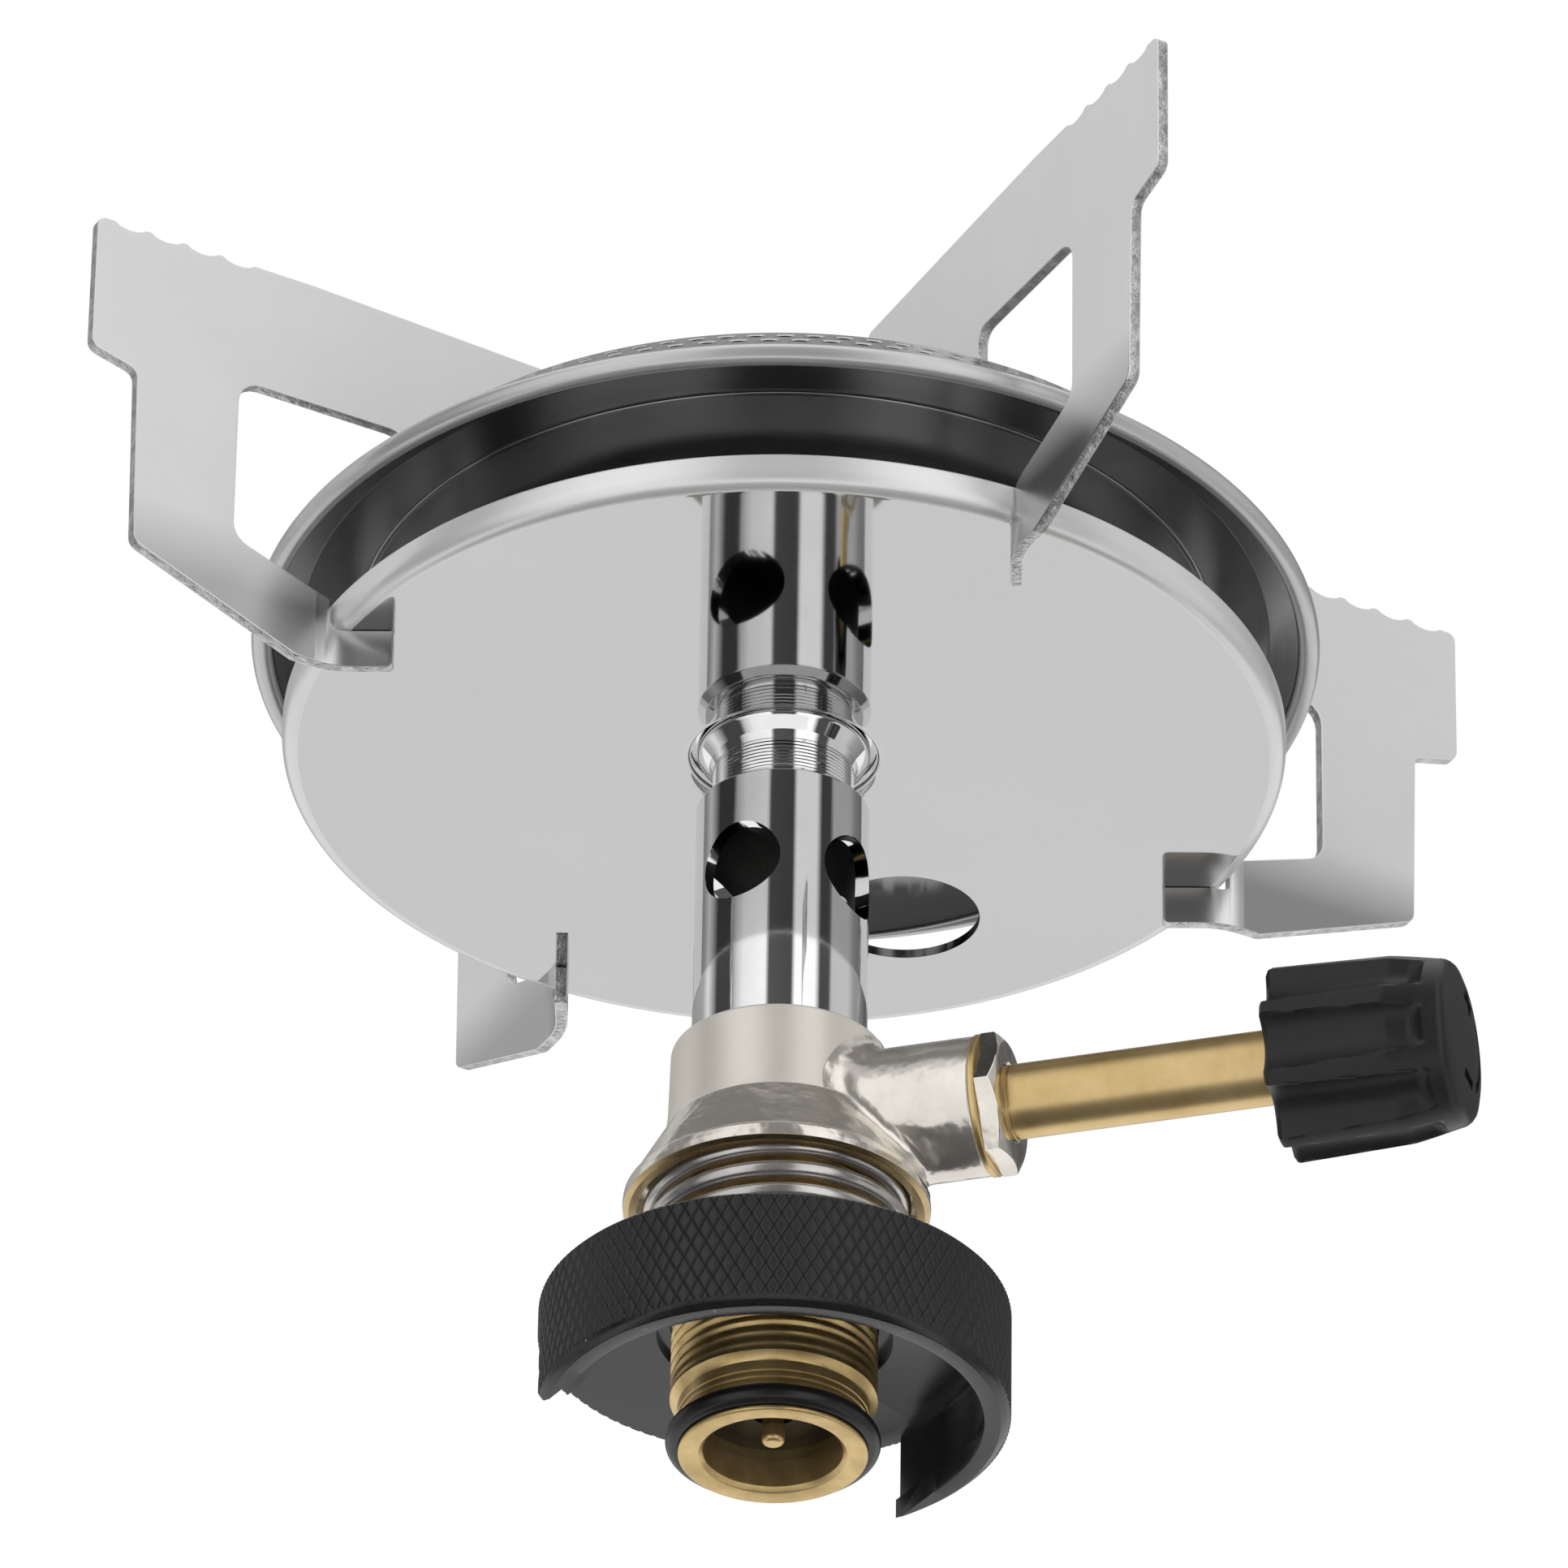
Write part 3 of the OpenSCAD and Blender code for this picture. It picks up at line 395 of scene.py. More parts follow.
m_barrel = metal(
    "nickel_satin", (0.88, 0.835, 0.75), (0.93, 0.885, 0.80), (0.34, 0.44),
    patch=160, grain=3000, bump=0.25, depth=0.00003, metallic=0.5)
# Painted shade: the tube's bore is coloured near black for the shade inside it
m_bore_shade = metal(
    "tube_inside_painted_shade", (0.10, 0.095, 0.09), (0.16, 0.155, 0.15), (0.5, 0.7),
    patch=200, grain=2600, bump=0.3)
m_nut = metal(
    "nickel_nut", (0.68, 0.64, 0.58), (0.84, 0.80, 0.73), (0.10, 0.24),
    grain=4000, bump=0.1, wavy=300)
m_spring = metal(
    "spring_wire", (0.52, 0.505, 0.485), (0.70, 0.68, 0.655), (0.18, 0.27),
    patch=240, grain=5000, bump=0.1, metallic=0.8)
m_chrome = metal(
    "chrome_tube", (0.80, 0.80, 0.81), (0.86, 0.86, 0.87), (0.03, 0.07),
    grain=2500, bump=0.02, depth=0.00001)
m_plate = metal(
    "mirror_steel", (0.550, 0.550, 0.553), (0.562, 0.562, 0.564), (0.03, 0.05),
    patch=40, grain=900, bump=0.008, depth=0.00001)
m_rim = metal(
    "rolled_rim", grey(0.82), grey(0.88), (0.28, 0.36),
    patch=60, lines=SPUN_EDGE, bump=0.3, metallic=0.5)
m_bead = metal(
    "rolled_bead", grey(0.60), grey(0.66), (0.28, 0.36),
    patch=60, lines=SPUN_EDGE, bump=0.2, depth=0.00001, metallic=0.6)
m_burner = metal(
    "burner_steel", (0.48, 0.48, 0.483), (0.54, 0.54, 0.542), (0.12, 0.19),
    patch=60, grain=2400, depth=0.00001)
# Painted shade: a darker copy of the burner's steel for the cup, which sits in shade between the plate and
# the cap; its spun lines are its own
m_cup_shaded = metal(
    "cup_steel_painted_shade", (0.25, 0.25, 0.252), (0.32, 0.32, 0.322), (0.18, 0.26),
    patch=60, lines=SPUN_CUP, bump=0.15, depth=0.00001)
m_shear = metal(
    "sheared_edge", grey(0.42), grey(0.78), (0.29, 0.5),
    patch=900, grain=2200, bump=0.9, depth=0.00018, metallic=0.9)


def stamped():
    """Satin sheet steel that is glossier on the foot, where it is drawn round its bend, with painted shade
    there: the foot is coloured darker for the dark reflections of its bend.
    """
    n = Nodes("stamped_steel")
    axes = n.add("ShaderNodeSeparateXYZ")
    n.link(n.co, axes.inputs[0])
    # The ramp's places are heights in decimetres: all foot up to 65.5 mm, none of it from 71.5 mm
    foot = n.ramp(n.math("MULTIPLY", axes.outputs["Z"], 10.0), [(0.655, 1.0), (0.715, 0.0)])
    spots = n.noise(90, 4, 0.6)
    fine = n.noise(5200, 2, 0.6)
    satin = n.mix(n.step(spots, 0.35, 0.65), grey(0.885), grey(0.910))
    # Painted shade: the foot gets a darker grey than the satin, standing in for the dark reflections on the
    # bent foot
    n.colour(n.mix(foot, satin, grey(0.72)))
    n.link(n.mix(foot, grey(0.35), grey(1.0)), n.shader.inputs["Metallic"])
    n.roughness(n.mix(foot, n.spread(fine, (0.34, 0.42)), grey(0.29)))
    n.bump(fine, 0.10, 0.00002)
    return n.m


def black(name, base, light, rough, grain, bump, depth, level):
    """A black plastic or rubber, or a black coat, with fine specks."""
    n = Nodes(name)
    speck = n.noise(grain, 3, 0.7)
    both = n.blend(speck, 0.5, n.noise(grain / 14, 3, 0.5))
    n.colour(n.mix(n.step(both, 0.35, 0.7), base, light))
    n.roughness(n.spread(both, rough))
    n.set(Specular_IOR_Level=level)
    n.bump(speck, bump, depth)
    return n.m


def anodised():
    """A black coat that is nicked to the metal along its edges."""
    n = Nodes("black_anodised")
    speck = n.noise(2600, 3, 0.7)
    wear = n.step(n.noise(900, 4, 0.75), 0.62, 0.70)
    edge = n.add("ShaderNodeNewGeometry").outputs["Pointiness"]
    nick = n.math("MULTIPLY", n.step(edge, 0.52, 0.60), wear)
    base = n.mix(n.step(speck, 0.3, 0.7), (0.008, 0.008, 0.0085), (0.014, 0.014, 0.0145))
    n.colour(n.mix(nick, base, (0.3, 0.3, 0.31)))
    n.roughness(n.spread(speck, (0.16, 0.26)))
    n.bump(speck, 0.12, 0.00002)
    return n.m


m_stamped_shaded_foot = stamped()
m_plastic = black(
    "black_plastic", (0.014, 0.014, 0.0145), (0.022, 0.022, 0.023), (0.30, 0.44),
    3200, 0.3, 0.00004, level=0.35)
m_rubber = black(
    "black_rubber", (0.010, 0.010, 0.011), (0.020, 0.020, 0.022), (0.25, 0.4),
    2200, 0.15, 0.00003, level=0.4)
m_anodised = anodised()
m_knurl = black(
    "black_knurl", (0.017, 0.017, 0.018), (0.027, 0.027, 0.028), (0.40, 0.50),
    2600, 0.15, 0.00002, level=0.4)

CAD_MATERIALS = {
    "worn_brass": m_worn_brass, "polished_brass": m_brass, "sintered_bronze": m_bronze,
    "black_rubber": m_rubber, "black_anodised": m_anodised, "spring_steel": m_spring,
    "nickel_plated_brass": m_nickel, "nickel_plate": m_nut, "black_plastic": m_plastic,
    "chrome_tube": m_chrome, "mirror_steel": m_plate, "burner_steel": m_burner,
    "stamped_steel": m_stamped_shaded_foot,
}
for part in frame["record"]["subparts"]:
    node = frame["nodes"][part["node"]]
    node.data.materials.clear()
    node.data.materials.append(CAD_MATERIALS[part["material_slot"]])

# ---------------------------------------------------------------- nipple and its seals

THREAD_R, THREAD_DEPTH, THREAD_PITCH = 8.15, 0.5, 1.0
THREAD_LOW, THREAD_HIGH = 4.9, CEILING_Z - 0.1


def threaded_wall(rows_a_turn=12, segs=144):
    """Rings of points for the nipple's thread, faded out at both ends and shallow near its start."""
    length = THREAD_HIGH - THREAD_LOW
    rows = int(length / THREAD_PITCH * rows_a_turn)
    run_out = 0.5 * THREAD_PITCH
    crest, flank = 0.12, 0.72
    out = []
    for i in range(rows + 1):
        z = THREAD_LOW + length * i / rows
        fade = max(0, min(1, (z - THREAD_LOW) / run_out, (THREAD_HIGH - z) / run_out))
        worn = min(1, max(0.25, (z - 5) / 4))
        ring = []
        for k in range(segs):
            phase = (z / THREAD_PITCH - k / segs) % 1
            cut = min(1, max(0, (1 - abs(2 * phase - 1) - crest) / flank))
            r = THREAD_R - cut * THREAD_DEPTH * fade * worn
            ring.append((*polar(r, TAU * k / segs), z))
        out.append(ring)
    return out


def nipple():
    """The mouth with its seal's groove and two fine lines, the thread, and the bore inside."""
    outside = rounded([
        (5.55, -0.05), (7.45, -0.05, 0.2), (7.45, 0.3, 0.06), (6.7, 0.3), (6.7, 2.1), (7.5, 2.1, 0.15),
        (7.5, 2.72, 0.02), (7.38, 2.8), (7.5, 2.88, 0.02), (7.5, 3.32, 0.02), (7.38, 3.4),
        (7.5, 3.48, 0.02), (7.5, 4.3, 0.1), (7.62, 4.5)], 3, 0)[1:]
    inside = rounded([
        (THREAD_R, CEILING_Z), (6.5, CEILING_Z), (6.5, 24.18), (2.62, 24.18), (2.62, 6.1), (2.2, 6.1),
        (2.2, 5.62), (5.7, 5.62), (5.7, 2.9, 0.03), (5.5, 2.9, 0.05), (5.5, 0.4, 0.05),
        (5.85, 0.02, 0.15), (6.6, -0.05)], 3, 0)
    return ring_mesh(circle_rings(outside) + threaded_wall() + circle_rings(inside))


piece("nipple_turned", nipple(), "base", m_worn_brass, ["nipple"], smooth=50)
piece("tip_seal_ring", torus(7.6, 0.85, 1.2), "base", m_rubber, ["nipple_o_ring"])

pin = rounded([
    (0.0, 1.05), (0.95, 1.05, 0.94), (0.95, 2.5, 0.3), (0.85, 2.7), (0.85, 5.8), (1.1, 6.1, 0.15),
    (2.6, 6.1, 0.1), (2.6, 7.3, 0.1), (0.0, 7.3)], 8, 0)
piece("valve_pin", lathe(pin, 64), "base", m_brass, ["depressor_pin"])

# ---------------------------------------------------------------- locking ring

RING_R = 18.6
RING_LOW, RING_HIGH = 3.05, 12.95
KNURLS, KNURL_RISE, KNURL_STEPS = 98, 2.2, 12
KNURL_DEPTH, KNURL_WIDTH = 0.13, 0.10


def knurled_blank():
    """The ring's outside with its diamond knurl, hollow but closed all round."""
    segs = KNURLS * KNURL_STEPS
    rings = circle_rings(rounded([
        (8.2, 11.45), (9.3, 11.45), (9.3, 10.45, 0.05), (16.9, 10.45, 0.3), (16.9, 4.95),
        (16.5, 4.95, 0.06), (16.5, RING_LOW, 0.05), (17.9, RING_LOW, 0.04)], 2, 0), segs)
    levels = [3.4 + 0.06 * i for i in range(7)]
    levels += [3.85 + (KNURL_RISE / KNURL_STEPS) * i for i in range(48)]
    levels += [12.66, 12.72, 12.78, 12.84]
    for z in levels:
        ring = []
        edge = min(RING_R, RING_R - 0.7 + (z - RING_LOW), RING_R - 0.3 + (RING_HIGH - z))
        v = z / KNURL_RISE
        for k in range(segs):
            a = k / KNURL_STEPS
            near = min(min(x, 1 - x) for x in ((a + v) % 1, (a - v) % 1))
            r = min(edge, RING_R - KNURL_DEPTH * max(0, 1 - near / KNURL_WIDTH) ** 0.8)
            ring.append((*polar(r, TAU * k / segs), z))
        rings.append(ring)
    rings += circle_rings([(18.3, RING_HIGH), (8.9, RING_HIGH), (8.9, 13.35), (8.2, 13.35)], segs)
    return ring_mesh(rings)


def mouth_block(half, z0, z1, tip=29):
    """What the ring's open side loses between two heights: a slot, and all that lies past its tip."""
    far = 30
    block = extruded([
        (0, -half), (tip, -half), (tip, -far), (far, -far), (far, far), (tip, far), (tip, half),
        (0, half)], z1 - z0, z0)
    return moved(block, Matrix.Rotation(MOUTH_DIR, 4, "Z"))


mouth = [
    mouth_block(16.41, 2, 5.2, 7.62), mouth_block(16.79, 4.951, 10.4, 7.6), mouth_block(9.0, 9.45, 10.85)]
knurled = piece("knurled_ring", carve(knurled_blank(), mouth), "ring", m_anodised,
                ["locking_ring"], smooth=30)
repaint(knurled, m_knurl, lambda c: math.hypot(c.x, c.y) > 18.2 and 3.7 < c.z < 12.6)

washer = rounded([(8.95, 12.95, 0.08), (10.95, 12.95, 0.08), (10.95, 13.45, 0.08), (8.95, 13.45, 0.08)], 3)
piece("slip_washer_disc", lathe(washer), "ring_carrier", m_spring, ["slip_washer"])

# ---------------------------------------------------------------- ring spring

SPRING_MID, SPRING_WIRE, SPRING_TURNS = 9.95, 0.7, 4.3
SPRING_LOW, SPRING_HIGH = 14.2, 22.85
SPRING_START = math.radians(-110)


def spring():
    """The wire, wound round Z and closed at both ends."""
    steps, sides = int(SPRING_TURNS * 72), 20
    up = Vector((0, 0, 1))
    bm = bmesh.new()
    rings = []
    for i in range(steps + 1):
        t = i / steps
        a = SPRING_START + TAU * SPRING_TURNS * t
        z = SPRING_LOW + (SPRING_HIGH - SPRING_LOW) * t
        out = Vector((math.cos(a), math.sin(a), 0))
        c = out * SPRING_MID + up * z
        ring = []
        for k in range(sides):
            cos, sin = math.cos(TAU * k / sides), math.sin(TAU * k / sides)
            ring.append(bm.verts.new(c + SPRING_WIRE * (out * cos + up * sin)))
        rings.append(ring)
    stitch(bm, rings, closed=False)
    bm.faces.new(rings[0][::-1])
    bm.faces.new(rings[-1])
    return bm


spring_piece = piece("ring_spring_wire", spring(), None, m_spring,
                     ["ring_spring"], smooth=60)
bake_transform(spring_piece)

# ---------------------------------------------------------------- valve body

BARREL_R, BARREL_TAPER, BARREL_LEN = 8.95, 0.35, 7.59
SHOULDER_TOP = 28.75
SHOULDER_R, SHOULDER_LOW = 11.85, 23.42
BOSS_R, BOSS_LEN = 5.6, 17.0


def body_blank():
    """The skirt's bead, the sloping shoulder and the tapering barrel."""
    return lathe(rounded([
        (0, 21.8), (11.72, 21.8, 0.05), (12.15, 22.1, 0.12), (12.2, 22.55, 0.4), (12.15, 23.1, 0.25),
        (SHOULDER_R, SHOULDER_LOW, 0.1), (BARREL_R, SHOULDER_TOP, 0.35), (8.75, 30.5),
        (8.6, BODY_TOP, 0.22), (0, BODY_TOP)], 4))


boss = lathe(rounded([(0, 0), (BOSS_R, 0), (BOSS_R, BOSS_LEN, 0.12), (0, BOSS_LEN)], 3), 128)
gland = lathe([(0, 11.2), (3.3, 11.2), (3.3, 14.2), (4.2, 14.2), (4.2, 20), (0, 20)], 96)
skirt_hollow, spigot_seat = drum(11.09, 20, CEILING_Z), drum(6.52, 23.0, 24.2)
tube_seat, jet_seat = drum(7.02, TUBE_Z, 40), drum(2.52, 31.7, 34, 48)
body = carve(body_blank(), [along_spindle(boss)], "UNION")
body = carve(body, [skirt_hollow, spigot_seat, tube_seat, along_spindle(gland), jet_seat])
body = piece("valve_body_cast", body, "base", m_nickel, ["valve_body"], smooth=35)
SPINDLE_WAY = Vector((math.cos(KNOB_DIR), math.sin(KNOB_DIR), 0))


def is_machined(c):
    """The skirt's end and the hollow behind it, where the plating was cut away."""
    r = math.hypot(c.x, c.y)
    return c.z < 22.12 and r < 12.13 or c.z < CEILING_Z - 0.05 and r < 11.2


def is_barrel(c):
    """The barrel without the boss."""
    off_axis = (c - Vector((0, 0, SPINDLE_Z))).cross(SPINDLE_WAY).length
    return c.z > 28.8 and math.hypot(c.x, c.y) < 9.0 and abs(off_axis - BOSS_R) > 0.05


repaint(body, m_cut_brass, is_machined)
repaint(body, m_barrel, is_barrel)


def fillet_strip(reach=1.3, sides=160, steps=6):
    """The cast radius where the boss leaves the barrel and shoulder, closed behind its surface."""
    def wall(z):
        """The body's radius at a height."""
        if z > SHOULDER_TOP:
            return BARREL_R - BARREL_TAPER * (z - SHOULDER_TOP) / BARREL_LEN
        slope = (SHOULDER_R - BARREL_R) / (SHOULDER_TOP - SHOULDER_LOW)
        return BARREL_R + slope * (SHOULDER_TOP - z)

    bm = bmesh.new()
    rows = []
    for i in range(sides):
        across, up = math.cos(TAU * i / sides), math.sin(TAU * i / sides)

        def at(r):
            """The body's wall at a distance from the boss's axis, in this direction."""
            z = SPINDLE_Z + r * up
            return Vector((math.sqrt(max(0, wall(z) ** 2 - (r * across) ** 2)), r * across, z))

        corner, side, hidden = at(BOSS_R), at(BOSS_R + reach), at(BOSS_R - 0.15)
        out = Vector((corner.x + reach, corner.y, corner.z))
        row = []
        for k in range(steps + 1):
            t = k / steps
            row.append(bm.verts.new(out * (1 - t) ** 2 + corner * (2 * t * (1 - t)) + side * t * t))
        row.append(bm.verts.new((hidden.x - 0.15, hidden.y, hidden.z)))
        rows.append(row)
    for a, b in zip(rows, rows[1:] + rows[:1]):
        for k in range(len(a)):
            j = (k + 1) % len(a)
            bm.faces.new((a[k], b[k], b[j], a[j]))
    return moved(bm, Matrix.Rotation(KNOB_DIR, 4, "Z"))


piece("boss_fillet", fillet_strip(), "base", m_nickel, [], smooth=60)

# ---------------------------------------------------------------- gland, nut and spindle

ROD_R = 3.0

gland_disc = rounded([(4.2, BOSS_LEN), (5.7, BOSS_LEN, 0.1), (5.7, 17.5, 0.1), (4.2, 17.5)], 3)
piece("gland_washer_disc", along_spindle(lathe(gland_disc, 128)), "base", m_brass,
      ["gland_washer"])


def hex_nut():
    """A hexagon whose front corners are turned off by a cone."""
    segs, flat = 192, 5.0
    hole, face_r, cone_from = 3.05, 4.8, 4.85
    back, front = 17.5, 19.2
    rings = []

    def six(a):
        """The hexagon's radius in a direction."""
        return flat / math.cos((a + math.pi / 6) % (math.pi / 3) - math.pi / 6)

    def cone_z(r):
        return front - max(0, (r - cone_from)) * 0.55

    def ring(radius, height):
        """A ring of points. Radius and height depend on the angle."""
        turns = [TAU * k / segs for k in range(segs)]
        rings.append([(*polar(radius(a), a), height(a)) for a in turns])

    ring(lambda a: hole, lambda a: back)
    ring(lambda a: six(a) - 0.08, lambda a: back)
    ring(six, lambda a: back + 0.08)
    ring(six, lambda a: cone_z(six(a)) - 0.05)
    ring(lambda a: six(a) - 0.05, lambda a: cone_z(six(a) - 0.05))
    ring(lambda a: min(4.95, six(a) - 0.1), lambda a: cone_z(4.95))
    ring(lambda a: face_r, lambda a: front)
    ring(lambda a: 3.3, lambda a: front)
    ring(lambda a: hole, lambda a: front - 0.2)
    return moved(ring_mesh(rings), Matrix.Rotation(math.radians(8.5), 4, "Z"))


piece("gland_nut", along_spindle(hex_nut()), "base", m_nut, ["packing_nut"], smooth=25)

rod = rounded([
    (0, -2.1), (0.6, -2.1), (0.88, -1.2), (1.3, -0.4), (1.3, 6.0), (2.4, 6.0), (2.4, 11.6), (1.85, 11.6),
    (1.85, 13.2), (ROD_R, 13.2), (ROD_R, 19.4, 0.04), (2.8, 19.42), (2.8, 19.58), (ROD_R, 19.6, 0.04),
    (ROD_R, 43.0), (0, 43.0)], 3)
piece("valve_rod", along_spindle(lathe(rod, 128)), "valve", m_brass, ["valve_spindle"])

# ---------------------------------------------------------------- knob

KNOB_BACK, KNOB_LEN = 41.05, 15.3


def knob():
    """The knob with its flutes, from the hole for the rod to the slightly domed end."""
    segs, rows, end_rows, flutes = 320, 60, 26, 8
    back_edge, nose, dome = 0.55, 1.3, 0.45

    def outer(s):
        """Radius over the lands at a share of the length."""
        if s < 0.66:
            return 7.77 - 0.34 * (s / 0.66)
        return 7.43 - 0.98 * ((s - 0.66) / 0.34) ** 1.1

    def cut(a, s):
        """How far the flutes take the wall in."""
        phase = (a / TAU * flutes - 0.36) % 1
        off = min(phase, 1 - phase) * TAU / flutes
        depth = 1.6 * (1 - 0.4 * s) * min(1, max(0, (0.86 - s) / 0.08)) ** 0.5
        width = math.radians(14.5) - math.radians(3) * s
        x = off / width
        if x >= 1.25:
            return 0
        return depth * (1 - (x / 1.25) ** 2) ** 0.75

    hollow = [(0, 2.0), (ROD_R, 2.0), (3.05, 0.05), (4.1, 0), (4.2, 0.1), (4.2, 6.9), (5.6, 6.9), (5.65, 0.1)]
    rings = circle_rings([(r, KNOB_BACK + z) for r, z in hollow], segs)
    end_r = outer(1 - nose / KNOB_LEN) - nose
    for i in range(rows + 1):
        s = i / rows
        z = KNOB_BACK + s * (KNOB_LEN - dome)
        r0 = outer(s)
        front = (1 - s) * (KNOB_LEN - dome)
        if front < nose:
            r0 = end_r + math.sqrt(max(0, nose ** 2 - (nose - front) ** 2))
        back = s * KNOB_LEN
        if back < back_edge:
            r0 -= back_edge - math.sqrt(max(0, back_edge ** 2 - (back_edge - back) ** 2))
        turns = [TAU * k / segs for k in range(segs)]
        rings.append([(*polar(r0 - cut(a, s), a), z) for a in turns])
    for i in range(1, end_rows + 1):
        r = end_r * (1 - i / end_rows)
        rings.append(circle(r, KNOB_BACK + KNOB_LEN - dome * (r / end_r) ** 2, segs))
    return ring_mesh(rings, closed=False)


def knob_mark_cutters():
    """Plus, minus and an arc between them."""
    line, stroke, off = 0.75, 2.5, 3.5
    low = KNOB_BACK + KNOB_LEN - 0.85
    out = []
    for w, h, x in ((line, stroke, -off), (stroke, line, -off), (line, stroke, off)):
        sides = [(x - w / 2, -h / 2), (x + w / 2, -h / 2), (x + w / 2, h / 2), (x - w / 2, h / 2)]
        out.append(extruded(sides, 2, low))
    arc = [polar(off, math.radians(a)) for a in range(40, 141, 4)]
    arc += [polar(off + line, math.radians(a)) for a in range(140, 39, -4)]
    out.append(extruded(arc, 2, low))
    return out


piece("fluted_knob", along_spindle(carve(knob(), knob_mark_cutters())), "valve", m_plastic,
      ["control_knob"], smooth=40)

# ---------------------------------------------------------------- mixing tube

TUBE_R, TUBE_BORE_R, NECK_R = 7.0, 5.9, 5.7
AIR_HOLE_R, AIR_HOLE_Z, AIR_HOLE_DIR = 3.5, 51.4, 30


def tube():
    """The tube with its four air holes, finely grooved neck, collar and flange."""
    grooves = [(NECK_R - 0.07 * (i % 2), 60.3 + 0.16 * i) for i in range(19)]
    outline = rounded([
        (TUBE_BORE_R, TUBE_Z), (TUBE_R, TUBE_Z, 0.1), (TUBE_R, 59.42, 0.15), (6.35, TUBE_TOP, 0.15),
        (NECK_R, TUBE_TOP, 0.05)] + grooves + [
        (NECK_R, COLLAR_Z, 0.15), (6.0, 63.87, 0.2), (6.98, 65.0, 0.8), (TUBE_R, 65.75), (7.48, 65.9),
        (7.48, FLANGE_Z), (10, FLANGE_Z), (10, FLOOR_Z), (NECK_R, FLOOR_Z), (NECK_R, 72.67),
        (4.2, 72.67), (4.2, TUBE_TOP), (TUBE_BORE_R, 57.07)], 5)
    lying = Matrix.Rotation(math.pi / 2, 4, "Y")
    raised = Matrix.Translation((0, 0, AIR_HOLE_Z))
    holes = []
    for k in range(4):
        way = Matrix.Rotation(math.radians(AIR_HOLE_DIR + 90 * k), 4, "Z")
        holes.append(moved(drum(AIR_HOLE_R, 0, 12, 96), lying, raised, way))
    return carve(lathe(outline, 192), holes)


pipe = piece("chromed_tube", tube(), "base", m_chrome, ["mixing_tube"], smooth=30)
# Painted shade on the bore, which is coloured near black where the tube is dark inside
repaint(pipe, m_bore_shade, lambda c: math.hypot(c.x, c.y) < TUBE_BORE_R + 0.03 and c.z < 60)

# ---------------------------------------------------------------- heat plate

PLATE_R, PLATE_RIM_Z = 40.5, 67.095
SIGHT_HOLE_R, SIGHT_HOLE_AT, SIGHT_HOLE_DIR = 6.25, 25, math.radians(37.5)


def plate():
    """The dish with its turned-up rim and its sight hole."""
    bm = lathe(rounded([
        (7.55, 66.6), (7.5, 64.42, 0.9), (PLATE_R, PLATE_Z, 2.05), (PLATE_R, PLATE_RIM_Z, 0.25),
        (39.7, PLATE_RIM_Z, 0.25), (39.7, 65.195, 1.3), (8.35, 65.195, 0.6), (8.3, 66.6)], 10, 0.3), 256)
    off_centre = Matrix.Translation((*polar(SIGHT_HOLE_AT, SIGHT_HOLE_DIR), 0))
    return carve(bm, [moved(drum(SIGHT_HOLE_R, 60, 66.5, 128), off_centre)])


dish = piece("heat_plate_dish", plate(), "base", m_plate, ["heat_plate"], smooth=30)
repaint(dish, m_rim, lambda c: math.hypot(c.x, c.y) > 39.15)

# ---------------------------------------------------------------- burner

cup = rounded([
    (5.72, FLOOR_Z), (34.5, FLOOR_Z, 2.5), (34.5, 77.05, 0.25), (39.2, 76.5, 0.4), (41.55, 75.12),
    (41.55, 75.7), (39.4, 77.1, 0.6), (33.9, 77.7, 0.5), (33.9, 68.67, 1.9), (5.72, 68.67)], 6, 0.15)
piece("burner_cup_spun", lathe(cup, 256), "base", m_cup_shaded, ["burner_cup"])

PORTS, PORT_R, PORT_SIDES = 104, 0.6, 16
CAP_T, BEAD_R = 0.6, 0.85
SLOPE_LOW, SLOPE_HIGH = Vector((42.733, 75.95)), Vector((37.45, 80.6))
SLOPE = SLOPE_HIGH - SLOPE_LOW
SLOPE_OUT = Vector((SLOPE.y, -SLOPE.x)).normalized()
CAP_CUTS = (0.12, 0.55, 0.95)                  # where the slope's strips of faces start and end
PORT_ROWS = ((0.34, 0, 1), (0.76, 1, 2))       # place on the slope, and the cuts on either side


def on_slope(share, angle, along=0.0, across=0.0, depth=0.0):
    """A point of the cap's slope, moved along it, round it and into it."""
    p = SLOPE_LOW + SLOPE * share + SLOPE.normalized() * along - SLOPE_OUT * depth
    a = angle + across / p.x
    return Vector((*polar(p.x, a), p.y))


